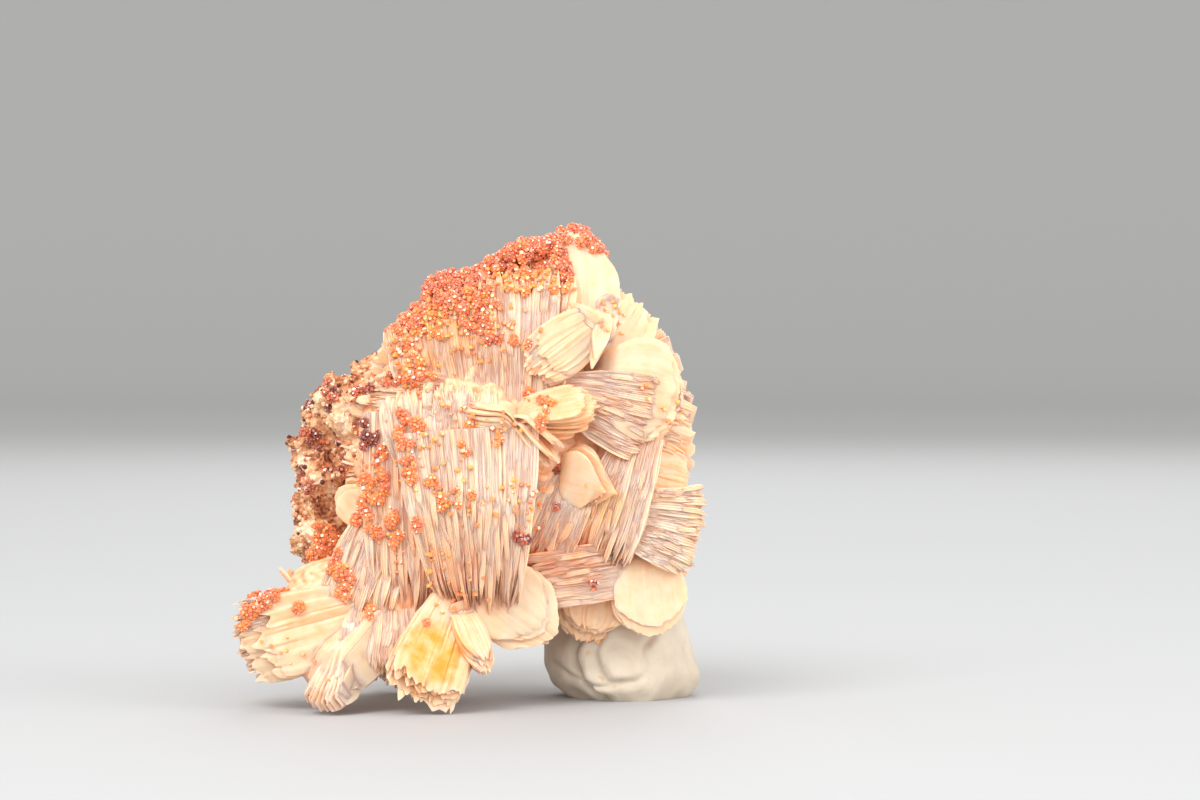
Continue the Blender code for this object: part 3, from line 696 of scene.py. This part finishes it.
def spine(sheaf, across, turn):
    """Where the plate at `across` from -1 to 1 starts and ends, and the way it stands out."""
    run, stack, outward = axes(sheaf)
    start = Vector(sheaf.root) + stack * across * sheaf.root_width / 2
    end = Vector(sheaf.tip) + stack * across * sheaf.tip_width / 2
    end -= run * TIP_DROOP * across * across
    along = (end - start).normalized()
    if outward.cross(stack).dot(run) < 0:
        turn = -turn
    side = Matrix.Rotation(turn, 3, along) @ outward
    side = (side - along * side.dot(along)).normalized()
    return start, end, along, side


def profile(sheaf, share):
    """How far a sheaf stands out at a share of its length, against its greatest."""
    return between(PETAL_ROW, share) * (1 - sheaf.flare) + between(FAN_ROW, share) * sheaf.flare


def closed_grid(bm, long, wide):
    """The upper and lower points of a thin closed slab, flat as yet, which runs from -1 to 1."""
    upper = bmesh.ops.create_grid(bm, x_segments=long, y_segments=wide, size=1)["verts"]
    faces = list({face for vert in upper for face in vert.link_faces})
    made = bmesh.ops.extrude_face_region(bm, geom=faces)
    return upper, [item for item in made["geom"] if isinstance(item, bmesh.types.BMVert)]


def add_book(bm, chance, sheaf, across, wide, first, last, height, settings):
    """A few plates grown together side by side, so that their edges show as fine lines.

    They run from the share `first` of their sheaf to `last`, and reach `wide` to either side.
    """
    grain = bm.verts.layers.float_vector["grain"]
    plate = bm.verts.layers.float_color["plate"]
    columns = 2 * (PLATES_A_BOOK + chance.choice((0, 1)))
    seed = chance.uniform(0, 1000)
    tint = chance.random()
    lit = 1 if axes(sheaf)[1].dot(LIGHT) > 0 else -1
    slope = lit * chance.uniform(*BOOK_SLOPES)
    most = SHORT_SWAY if first > 0 else LONG_SWAY
    sway = chance.uniform(-most, most)
    middle = spine(sheaf, across, math.radians(across * sheaf.splay / 2))
    length = (middle[1] - middle[0]).length
    lines = []
    short = chance.uniform(0, 0.1)
    for column in range(columns + 1):
        crest = column % 2
        out = 2 * column / columns - 1
        if crest:
            out -= lit * 1.1 / columns
            short = chance.uniform(0, 0.1)
        spot_across = across + out * wide
        line = spine(sheaf, spot_across, math.radians(spot_across * sheaf.splay / 2))
        depth = crest * chance.uniform(0.5, 1.5) * LINE_DEPTH
        lines.append((line, out, depth, short + 0.04 * (1 - crest)))
    root_part, root_sink = BOOK_ROOT
    tip_part, tip_sink = BOOK_TIP
    upper, lower = closed_grid(bm, columns, BOOK_ROWS)
    for verts, sign in ((upper, 1), (lower, -1)):
        for vert in verts:
            column = round((vert.co.x + 1) / 2 * columns)
            (start, end, along, side), out, depth, short = lines[column]
            share = (vert.co.y + 1) / 2
            reach = first + (last - first) * share * (1 - short * share * share)
            half = wide * (sheaf.root_width * (1 - reach) + sheaf.tip_width * reach) / 2
            lift = profile(sheaf, reach)
            if sign > 0:
                lift *= sheaf.proud * height
                lift += depth * (1 + 0.5 * noise.noise(Vector((column, reach * length / 2, seed))))
                lift -= slope * out * half
                lift += 0.3 * noise.noise(Vector((seed, reach * length / 5, 2)))
                if first > 0 and share < root_part:
                    lift -= root_sink * (1 - share / root_part) ** 2
                if share > tip_part:
                    lift -= tip_sink * ((share - tip_part) / (1 - tip_part)) ** 2
                if column in (0, columns):
                    lift -= 0.1
            else:
                lift *= -sheaf.deep / 2
            wave = settings.waviness / MM * noise.noise(Vector((seed, reach * length / 8, 0)))
            wave += sway * share * share
            centre = middle[0].lerp(middle[1], reach)
            narrow = between(BOOK_ROW, share) * (1 - sheaf.flare)
            narrow += between(BOOK_FAN_ROW, share) * sheaf.flare
            spot = centre.lerp(start.lerp(end, reach), narrow)
            spot += side * lift + along.cross(side) * wave
            vert[grain] = (off_middle(sheaf, across + out * wide, reach), reach * length, seed)
            # The first value is how proud the point lies. The troughs between plates get lower values, so
            # the material paints iron stain and painted shade into them.
            vert[plate] = (0.8 + 0.2 * sign if depth else 0.68 + 0.18 * sign, reach, tint, 1)
            vert.co = spot + SHIFT


def off_middle(sheaf, across, reach):
    """How far a point of a sheaf is from the sheaf's middle line, in millimetres."""
    return across * (sheaf.root_width * (1 - reach) + sheaf.tip_width * reach) / 2


def add_bed(bm, chance, sheaf):
    """The inner part of a sheaf, grown together in fine ridges, from which its plates stand out."""
    grain = bm.verts.layers.float_vector["grain"]
    plate = bm.verts.layers.float_color["plate"]
    columns = 2 * sheaf.plates
    lines = []
    for column in range(columns + 1):
        across = 2 * column / columns - 1
        turn = math.radians(across * sheaf.splay / 2)
        reach = chance.uniform(0.82, 0.98)
        high = chance.uniform(0.92, 0.98)
        lines.append((spine(sheaf, across, turn), reach, high, chance.random()))
    upper, lower = closed_grid(bm, columns, BED_ROWS)
    for verts, sign in ((upper, 1), (lower, -1)):
        for vert in verts:
            column = round((vert.co.x + 1) / 2 * columns)
            share = (vert.co.y + 1) / 2
            (start, end, along, side), reach, high, tint = lines[column]
            face = along.cross(side)
            length = (end - start).length
            lift = profile(sheaf, share) * (sheaf.proud * high if sign > 0 else -sheaf.deep * 0.7)
            lift += 0.25 * noise.noise(Vector((column * 0.7, share * 6, 3)))
            wave = 0.4 * noise.noise(Vector((column * 0.08, share * length / 6, 9)))
            spot = start + along * share * reach * length + side * lift + face * wave
            vert[grain] = (column * 0.2, share * length, 0)
            # The bed lies low between the books, so its value is lowered and the material paints iron
            # stain and painted shade over it.
            vert[plate] = (high - 0.16, share, tint, 1)
            vert.co = spot + SHIFT


def add_leaf(bm, chance, sheaf, across, last, settings):
    """One plate that shows its face: fine lines radiate from its root to its ragged end."""
    grain = bm.verts.layers.float_vector["grain"]
    plate = bm.verts.layers.float_color["plate"]
    turn = math.radians(across * sheaf.splay / 2 + chance.uniform(-LEAF_TURN, LEAF_TURN))
    start, end, along, side = spine(sheaf, across, turn)
    face = along.cross(side)
    inward = axes(sheaf)[1]
    if inward.dot((start + end) / 2 - CENTRE) > 0:
        inward = -inward
    rough = SMOOTH.get(sheaf.name, 1)
    rounding = 0.08 if rough == 1 else 0.2
    length = (end - start).length
    seed = chance.uniform(0, 1000)
    tint = chance.random()
    thick = settings.thickness / MM * chance.uniform(*LEAF_THICKNESSES)
    wide = chance.uniform(*LEAF_WIDTHS)
    upper, lower = closed_grid(bm, *LEAF_FACES)
    for verts, sign in ((upper, -1), (lower, 1)):
        for vert in verts:
            share = (vert.co.x + 1) / 2
            out = vert.co.y
            jag = 0.5 + 0.7 * noise.noise(Vector((seed, out * 4, 0)))
            jag += 0.5 * noise.noise(Vector((seed, out * 11, 4)))
            jag += 0.4 * noise.noise(Vector((seed, out * 25, 6)))
            reach = share * last * (1 - (0.01 + 0.09 * jag * rough) * share ** 3)
            reach -= rounding * out * out * share
            half = sheaf.proud if out > 0 else sheaf.deep
            rough_side = 1 + 0.035 * noise.noise(Vector((seed, reach * length / 0.8, 5)))
            petal = math.sin(math.pi * min(1, 0.12 + 0.88 * share)) ** 0.6
            flared = 0.42 + 0.58 * math.sin(math.pi / 2 * share)
            stand = petal * (1 - sheaf.flare) + flared * sheaf.flare
            lift = half * stand * out * wide * rough_side
            line = 0.2 * noise.noise(Vector((out * 7, share * 1.1, seed)))
            line += 0.17 * noise.noise(Vector((out * 17, share * 1.4, seed)))
            line *= rough
            wave = 0.5 * noise.noise(Vector((seed, reach * length / 10, out * 0.8)))
            rim = 0.35 if share in (0, 1) or abs(out) == 1 else 1
            spot = start + along * reach * length + side * lift
            spot += face * (wave + line * min(1, 3 * share) + sign * rim * thick / 2)
            spot += inward * ROOT_SINK * max(0, 1 - share / 0.3) ** 2
            vert[grain] = (out * half, share * length * 0.5, seed)
            # Leaves get a low value, so the material paints some iron stain and painted shade over their
            # faces to tone them down. Smooth leaves get a little less.
            vert[plate] = (0.58 if rough == 1 else 0.68, share, tint, 1)
            vert.co = spot + SHIFT


def sheaf_bmesh(chance, sheaf, settings):
    bm = bmesh.new()
    bm.verts.layers.float_vector.new("grain")
    bm.verts.layers.float_color.new("plate")
    if sheaf.plates < EDGE_ON_FROM:
        for index in range(sheaf.plates):
            across = 2 * index / (sheaf.plates - 1) - 1
            add_leaf(bm, chance, sheaf, across, chance.uniform(0.88, 1), settings)
    else:
        add_bed(bm, chance, sheaf)
        books = max(4, round(sheaf.plates / PLATES_A_BOOK))
        for index in range(books):
            across = (2 * index + 1 + chance.uniform(-0.4, 0.4)) / books - 1
            wide = chance.uniform(1.1, 1.6) / books
            last = chance.uniform(*LONG_REACHES)
            height = chance.uniform(*LONG_HEIGHTS)
            add_book(bm, chance, sheaf, across, wide, 0, last, height, settings)
        # Shorter books grow over the long ones, so the tips are staggered like feathers.
        for _ in range(round(books * SHORT_BOOKS)):
            first = chance.uniform(*SHORT_STARTS)
            last = min(1, first + chance.uniform(*SHORT_LENGTHS))
            across = chance.uniform(-0.95, 0.95)
            wide = chance.uniform(0.5, 1.1) / books
            height = chance.uniform(*SHORT_HEIGHTS)
            add_book(bm, chance, sheaf, across, wide, first, last, height, settings)
    bmesh.ops.recalc_face_normals(bm, faces=bm.faces)
    for face in bm.faces:
        face.smooth = True
    return bm


def join(target, bm):
    """Adds one bmesh to another, and frees it."""
    mesh = bpy.data.meshes.new("joined")
    bm.to_mesh(mesh)
    bm.free()
    target.from_mesh(mesh)
    bpy.data.meshes.remove(mesh)


def ellipsoid(centre, half, subdivisions):
    bm = bmesh.new()
    bmesh.ops.create_icosphere(bm, subdivisions=subdivisions, radius=1)
    bmesh.ops.scale(bm, vec=Vector(half), verts=bm.verts)
    bmesh.ops.translate(bm, vec=Vector(centre), verts=bm.verts)
    return bm


def roughen(bm, depth, grain, offset=0, craggy=False):
    """Pushes each point along its normal by noise, and by a fixed offset."""
    bm.normal_update()
    for vert in bm.verts:
        if craggy:
            push = noise.turbulence(vert.co / grain, 3, True) - 0.6
        else:
            push = noise.noise(vert.co / grain)
        vert.co += vert.normal * (offset + depth * push)


def crease(bm, middle, radius, first, last, depth, width):
    """Presses a groove in the front of the putty, along an arc, and rolls its inner lip up."""
    bm.normal_update()
    for vert in bm.verts:
        from_middle = Vector((vert.co.x, vert.co.z)) - middle
        angle = math.atan2(from_middle.y, from_middle.x) % math.tau
        if vert.co.y > PUTTY_CENTRE[1] or not first < angle < last:
            continue
        ends = min(1, (angle - first) / 0.35, (last - angle) / 0.35)
        off = (from_middle.length - radius - 0.5 * noise.noise(vert.co / 3)) / width
        push = 0.7 * math.exp(-((off + 2) ** 2) / 2.5) - math.exp(-off * off)
        vert.co += vert.normal * depth * ends * push


def remeshed(bm, voxel):
    """One even skin around everything in a bmesh in millimetres."""
    mesh = bpy.data.meshes.new("rough")
    bm.to_mesh(mesh)
    bm.free()
    obj = bpy.data.objects.new("rough", mesh)
    bpy.context.scene.collection.objects.link(obj)
    skin = obj.modifiers.new("even skin", "REMESH")
    skin.mode = "VOXEL"
    skin.voxel_size = voxel
    graph = bpy.context.evaluated_depsgraph_get()
    even = bpy.data.meshes.new_from_object(obj.evaluated_get(graph))
    bpy.data.objects.remove(obj)
    made = bmesh.new()
    made.from_mesh(even)
    return made


def ground(*names):
    """The surface of some pieces, in millimetres, for crystals to rain on."""
    bm = bmesh.new()
    for name in names:
        bm.from_mesh(bpy.data.objects[name].data)
    bmesh.ops.scale(bm, vec=Vector((1 / MM, 1 / MM, 1 / MM)), verts=bm.verts)
    tree = BVHTree.FromBMesh(bm)
    bm.free()
    return tree


def grains(chance, surface, count, width):
    """Sand grains that rain on the rock from all sides."""
    bm = bmesh.new()
    tint = bm.verts.layers.float.new("tint")
    for _ in range(count):
        way = Vector([chance.gauss(0, 1) for _ in range(3)]).normalized()
        start = ROCK_MIDDLE + way * RAIN_FROM + Vector([chance.uniform(-20, 20) for _ in range(3)])
        spot, normal, _, _ = surface.ray_cast(start, -way)
        if spot is None:
            continue
        size = width * chance.uniform(0.45, 1.15)
        place = Matrix.Translation(spot + normal * size * 0.15)
        turn = Matrix.Rotation(chance.uniform(0, math.tau), 4, way)
        stretch = Matrix.Diagonal((size / 2, size / 2 * chance.uniform(0.6, 1.2), size / 2, 1))
        matrix = place @ turn @ stretch
        made = bmesh.ops.create_icosphere(bm, subdivisions=1, radius=1, matrix=matrix)
        shade = chance.uniform(-0.1, 0.1) if chance.random() < 0.1 else chance.uniform(0.3, 0.95)
        for vert in made["verts"]:
            vert[tint] = shade
    return bm


def drift(spot):
    """A vector that changes slowly from place to place, and is the same in every run."""
    return Vector([noise.noise(spot + Vector((0, 0, 50 * axis))) for axis in (1, 2, 3)])


def small_plates(chance, surface, count):
    """Small round plates on the sides and back of the massive barite, which lean alike where close."""
    bm = bmesh.new()
    grain = bm.verts.layers.float_vector.new("grain")
    plate = bm.verts.layers.float_color.new("plate")
    for _ in range(count):
        way = Vector([chance.gauss(0, 1) for _ in range(3)]).normalized()
        start = CENTRE + way * RAIN_FROM + Vector([chance.uniform(-24, 24) for _ in range(3)])
        radius = chance.uniform(*SMALL_RADIUS)
        spot, normal, _, _ = surface.ray_cast(start, -way)
        if spot is None or normal.y < FRONT_FROM or normal.z > TOP_FROM:
            continue
        out = (normal + drift(spot / SMALL_GRAIN)).normalized()
        face = drift(spot / SMALL_GRAIN + Vector((50, 0, 0))).cross(out).normalized()
        across = face.cross(out)
        turn = Matrix((out, across, face)).transposed().to_4x4()
        stretch = Matrix.Diagonal((radius, radius * chance.uniform(*SMALL_WIDTHS), 1, 1))
        place = Matrix.Translation(spot + out * radius * SMALL_OUT)
        made = bmesh.ops.create_cone(
            bm,
            cap_ends=True,
            segments=9,
            radius1=1,
            radius2=0.85,
            depth=SMALL_THICKNESS,
            matrix=place @ turn @ stretch,
        )
        tint = chance.random()
        for vert in made["verts"]:
            vert[grain] = (vert.co.dot(across), vert.co.dot(out), radius)
            # A middling value, so the material paints some iron stain and painted shade over the small
            # plates.
            vert[plate] = (0.66, 0.5, tint, 1)
    return bm


def landings(chance, surface, patch, rain, count):
    """Where `count` drops that rain on a patch land, and the way each should point."""
    rain = Vector(rain).normalized()
    right = rain.cross(Vector((0, 0, 1)))
    right = right.normalized() if right.length > 0.5 else Vector((1, 0, 0))
    up = right.cross(rain)
    found = []
    for _ in range(count):
        angle = chance.uniform(0, math.tau)
        reach = patch.radius * math.sqrt(chance.random())
        x, y = Vector(patch.start).lerp(Vector(patch.end), chance.random())
        x += reach * math.cos(angle)
        y += reach * math.sin(angle)
        spot, normal, _, _ = surface.ray_cast(right * x + up * y - rain * RAIN_FROM, rain)
        if spot is None:
            continue
        if normal.dot(rain) > 0:
            normal = -normal
        found.append((spot, (normal - rain * 0.8).normalized()))
    return found


def add_crystal(bm, chance, spot, outward, width, tint):
    """A hexagonal prism that stands on a spot."""
    layer = bm.verts.layers.float["tint"]
    length = width * chance.uniform(0.8, 1.5)
    made = bmesh.ops.create_cone(
        bm, cap_ends=True, segments=6, radius1=width / 2, radius2=width * 0.46, depth=length
    )
    stand = outward.to_track_quat("Z", "Y").to_matrix().to_4x4()
    spin = Matrix.Rotation(chance.uniform(0, math.tau), 4, "Z")
    place = Matrix.Translation(spot + outward * length * 0.25)
    bmesh.ops.transform(bm, matrix=place @ stand @ spin, verts=made["verts"])
    for vert in made["verts"]:
        vert[layer] = tint


def add_ball(bm, chance, spot, outward, radius, count, shade):
    """Crystals that radiate from one middle, all round apart from the side that it sits on."""
    layer = bm.verts.layers.float["tint"]
    made = bmesh.ops.create_icosphere(
        bm, subdivisions=1, radius=radius * 0.8, matrix=Matrix.Translation(spot)
    )
    for vert in made["verts"]:
        vert[layer] = shade - 0.08
    turn = Vector([chance.gauss(0, 1) for _ in range(3)]).to_track_quat("Z", "Y")
    for index in range(count):
        rise = 1 - 2 * (index + 0.5) / count
        flat = math.sqrt(1 - rise * rise)
        angle = index * GOLDEN_ANGLE
        way = turn @ Vector((flat * math.cos(angle), flat * math.sin(angle), rise))
        if way.dot(outward) > -0.35:
            size = radius * chance.uniform(0.6, 0.85)
            tint = shade + chance.uniform(-0.08, 0.08)
            add_crystal(bm, chance, spot + way * radius * 0.5, way, size, tint)


def crystals(name, surface, patches, rain, tints, settings, chance):
    """Balls and single crystals of vanadinite on some patches."""
    whole = bmesh.new()
    whole.verts.layers.float.new("tint")
    width = settings.width / MM
    for patch in patches:
        bm = bmesh.new()
        bm.verts.layers.float.new("tint")
        for spot, outward in landings(chance, surface, patch, rain, patch.balls):
            radius = width * chance.uniform(0.8, 1.3)
            shade = chance.uniform(*tints)
            add_ball(bm, chance, spot + outward * radius * 0.2, outward, radius, settings.per_ball, shade)
        for spot, outward in landings(chance, surface, patch, rain, patch.singles):
            size = width * chance.uniform(0.6, 1.2)
            way = outward + Vector([chance.uniform(-0.4, 0.4) for _ in range(3)])
            shade = chance.uniform(tints[0], tints[1] + 0.2)
            add_crystal(bm, chance, spot, way.normalized(), size, shade)
        join(whole, bm)
    return finished(name, whole, bpy.data.materials["resinous_vanadinite_crystals"])


class SPECIMEN_OT_barite(bpy.types.Operator):
    """Grow the sheaves of barite plates and the massive barite under them"""

    bl_idname = "specimen.barite"
    bl_label = "Barite Plates"

    def execute(self, context):
        settings = context.scene.specimen_barite
        chance = random.Random(5)
        plates = barite_material()
        for name, sheaves in BARITE_PIECES.items():
            whole = bmesh.new()
            for sheaf in sheaves:
                join(whole, sheaf_bmesh(chance, sheaf, settings))
            piece = finished(name, whole, plates)
            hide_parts("specimen")
        whole = bmesh.new()
        for centre, half in CORE:
            join(whole, ellipsoid(centre, half, 4))
        bm = remeshed(whole, CORE_VOXEL)
        roughen(bm, **CORE_ROUGH)
        bmesh.ops.translate(bm, vec=SHIFT, verts=bm.verts)
        finished("barite_core", bm, core_material())

        surface = ground("barite_core")
        whole = bmesh.new()
        whole.verts.layers.float_vector.new("grain")
        whole.verts.layers.float_color.new("plate")
        for _ in range(SMALL_PLATES // GRAIN_BATCH):
            join(whole, small_plates(chance, surface, GRAIN_BATCH))
        finished("barite_small", whole, plates)
        return {"FINISHED"}


class SPECIMEN_OT_rock(bpy.types.Operator):
    """Make the rock that the barite grew on, and the grains that crust it"""

    bl_idname = "specimen.rock"
    bl_label = "Matrix Rock"

    def execute(self, context):
        settings = context.scene.specimen_rock
        chance = random.Random(6)
        whole = bmesh.new()
        for centre, half in ROCK:
            bm = ellipsoid(centre, half, 5)
            roughen(bm, depth=4.0, grain=5.0)
            join(whole, bm)
        for centre, radius in ROCK_KNOBS:
            bm = ellipsoid(centre, (radius, radius, radius), 3)
            roughen(bm, depth=2.0, grain=2.2)
            join(whole, bm)
        foot = ellipsoid(*ROCK_FOOT, 4)
        roughen(foot, depth=1.5, grain=3.0)
        drop = FOOT_ABOVE + FOOT_SPARE - min(vert.co.z for vert in foot.verts)
        bmesh.ops.translate(foot, vec=Vector((0, 0, drop)), verts=foot.verts)
        join(whole, foot)
        bm = remeshed(whole, ROCK_VOXEL)
        relief = settings.relief / MM
        roughen(bm, depth=relief, grain=2.6, craggy=True)
        roughen(bm, depth=relief, grain=0.9, craggy=True)
        bmesh.ops.translate(bm, vec=SHIFT, verts=bm.verts)
        tint = bm.verts.layers.float.new("tint")
        for vert in bm.verts:
            vert[tint] = 0.55 + 0.4 * noise.noise(vert.co / 4)
        rock = rock_material()
        piece = finished("matrix_rock", bm, rock)
        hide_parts("specimen")

        surface = ground("matrix_rock")
        whole = bmesh.new()
        whole.verts.layers.float.new("tint")
        for _ in range(GRAINS // GRAIN_BATCH):
            join(whole, grains(chance, surface, GRAIN_BATCH, settings.grain / MM))
        finished("rock_grains", whole, rock)
        return {"FINISHED"}


class SPECIMEN_OT_vanadinite(bpy.types.Operator):
    """Grow the vanadinite crystals on the barite and the rock"""

    bl_idname = "specimen.vanadinite"
    bl_label = "Vanadinite Crystals"

    def execute(self, context):
        settings = context.scene.specimen_vanadinite
        crust = vanadinite_material()
        chance = random.Random(7)
        whole = bmesh.new()
        for middle in RIDGE:
            bm = ellipsoid(middle, RIDGE_HALF, 3)
            roughen(bm, depth=0.8, grain=1.2)
            join(whole, bm)
        tint = whole.verts.layers.float.new("tint")
        for vert in whole.verts:
            vert[tint] = 0.5
        finished("vanadinite_ridge", whole, crust)
        everything = ground("matrix_rock", "vanadinite_ridge", *BARITE_PIECES)
        crystals("vanadinite_crust", everything, CRUST, FRONT, (0.4, 0.62), settings, chance)
        crystals("vanadinite_chains", everything, CHAINS, FRONT, (0.48, 0.74), settings, chance)
        crystals("vanadinite_dots", everything, DOTS, FRONT, (0.56, 0.76), settings, chance)
        crystals("vanadinite_dark", everything, DARK, FRONT, (0.14, 0.42), settings, chance)
        for rain, side, tints, patches in HIDDEN:
            crystals(f"vanadinite_{side}", everything, patches, rain, tints, settings, chance)
        return {"FINISHED"}


class SPECIMEN_OT_putty(bpy.types.Operator):
    """Pinch the lump of mounting putty that the specimen stands on"""

    bl_idname = "specimen.putty"
    bl_label = "Mounting Putty"

    def execute(self, context):
        settings = context.scene.specimen_putty
        bm = ellipsoid(PUTTY_CENTRE, PUTTY_HALF, 7)
        middle = PUTTY_CENTRE[2]
        for vert in bm.verts:
            if vert.co.z < middle:
                vert.co.z = middle - (middle - vert.co.z) * PUTTY_BELOW
            vert.co.x -= PUTTY_LEAN * max(0.0, vert.co.z) / (middle + PUTTY_HALF[2])
            if vert.co.z > PUTTY_TOP:
                vert.co.z = PUTTY_TOP + (vert.co.z - PUTTY_TOP) * PUTTY_SQUASH
        roughen(bm, depth=0.9, grain=7.0)
        roughen(bm, depth=settings.crease / MM, grain=2.6, offset=-0.1)
        for place, radius, (first, last), depth, width in FOLDS:
            crease(bm, Vector(place), radius, math.radians(first), math.radians(last), depth, width)
        floor = bmesh.ops.bisect_plane(
            bm,
            geom=bm.verts[:] + bm.edges[:] + bm.faces[:],
            dist=1e-6,
            plane_co=(0, 0, 0),
            plane_no=(0, 0, -1),
            clear_outer=True,
        )
        rim = [item for item in floor["geom_cut"] if isinstance(item, bmesh.types.BMEdge)]
        bmesh.ops.contextual_create(bm, geom=rim)
        bmesh.ops.translate(bm, vec=SHIFT, verts=bm.verts)
        bmesh.ops.recalc_face_normals(bm, faces=bm.faces)
        for face in bm.faces:
            face.smooth = True
        piece = finished("mounting_putty", bm, putty_material())
        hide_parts("putty")
        return {"FINISHED"}


class SPECIMEN_OT_stage(bpy.types.Operator):
    """Set up the floor, the soft lights and the camera"""

    bl_idname = "specimen.stage"
    bl_label = "Stage"

    def execute(self, context):
        settings = context.scene.specimen_stage
        bm = bmesh.new()
        bmesh.ops.create_grid(bm, x_segments=1, y_segments=1, size=2)
        far = [edge for edge in bm.edges if all(vert.co.y > 1.9 for vert in edge.verts)]
        swept = bmesh.ops.spin(
            bm, geom=far, cent=(0, 2, 1), axis=(1, 0, 0), dvec=(0, 0, 0), angle=math.pi / 2, steps=24
        )["geom_last"]
        edges = [item for item in swept if isinstance(item, bmesh.types.BMEdge)]
        wall = bmesh.ops.extrude_edge_only(bm, edges=edges)["geom"]
        top = [item for item in wall if isinstance(item, bmesh.types.BMVert)]
        bmesh.ops.translate(bm, vec=Vector((0, 0, 2)), verts=top)
        for face in bm.faces:
            face.smooth = True
        mesh = bpy.data.meshes.new("floor")
        bm.to_mesh(mesh)
        bm.free()
        floor = bpy.data.objects.new("floor", mesh)
        context.scene.collection.objects.link(floor)
        paint, _, surface = blank_material("pale_matte_floor")
        surface.inputs["Base Color"].default_value = linear("B2B4B6")
        surface.inputs["Roughness"].default_value = 0.7
        surface.inputs["Specular IOR Level"].default_value = 0.15
        mesh.materials.append(paint)

        world = bpy.data.worlds.new("studio")
        world.use_nodes = True
        sky = world.node_tree.nodes["Background"]
        sky.inputs["Color"].default_value = linear("ECE9E4")
        sky.inputs["Strength"].default_value = settings.fill
        context.scene.world = world

        for name, (place, size, share) in LIGHTS.items():
            light = bpy.data.lights.new(name, "AREA")
            light.size = size
            light.energy = settings.key * share
            lamp = bpy.data.objects.new(name, light)
            lamp.location = place
            lamp.rotation_euler = (LIT - Vector(place)).to_track_quat("-Z", "Y").to_euler()
            context.scene.collection.objects.link(lamp)

        camera = bpy.data.cameras.new("camera")
        camera.lens = CAMERA_LENS
        camera.sensor_width = SENSOR
        camera.clip_start = 0.01
        viewer = bpy.data.objects.new("camera", camera)
        viewer.location = Vector(CAMERA_PLACE) * MM
        viewer.rotation_euler = (math.radians(90 - CAMERA_PITCH), 0, 0)
        context.scene.collection.objects.link(viewer)
        context.scene.camera = viewer
        context.scene.view_settings.view_transform = "Standard"
        return {"FINISHED"}


class SPECIMEN_PT_panel(bpy.types.Panel):
    bl_label = "Vanadinite on Matrix"
    bl_idname = "SPECIMEN_PT_panel"
    bl_space_type = "VIEW_3D"
    bl_region_type = "UI"
    bl_category = "Specimen"

    def draw(self, context):
        for operator in OPERATORS:
            self.layout.operator(operator.bl_idname)


OPERATORS = (
    SPECIMEN_OT_barite,
    SPECIMEN_OT_rock,
    SPECIMEN_OT_vanadinite,
    SPECIMEN_OT_putty,
    SPECIMEN_OT_stage,
)
SETTINGS = {
    "specimen_barite": BariteSettings,
    "specimen_rock": RockSettings,
    "specimen_vanadinite": VanadiniteSettings,
    "specimen_putty": PuttySettings,
    "specimen_stage": StageSettings,
}


def register():
    for kind in (*SETTINGS.values(), *OPERATORS, SPECIMEN_PT_panel):
        bpy.utils.register_class(kind)
    for name, kind in SETTINGS.items():
        setattr(bpy.types.Scene, name, PointerProperty(type=kind))


def unregister():
    for name in SETTINGS:
        delattr(bpy.types.Scene, name)
    for kind in reversed((*SETTINGS.values(), *OPERATORS, SPECIMEN_PT_panel)):
        bpy.utils.unregister_class(kind)


def main():
    register()
    bpy.ops.specimen.barite()
    bpy.ops.specimen.rock()
    bpy.ops.specimen.vanadinite()
    bpy.ops.specimen.putty()
    bpy.ops.specimen.stage()


if __name__ == "__main__":
    main()
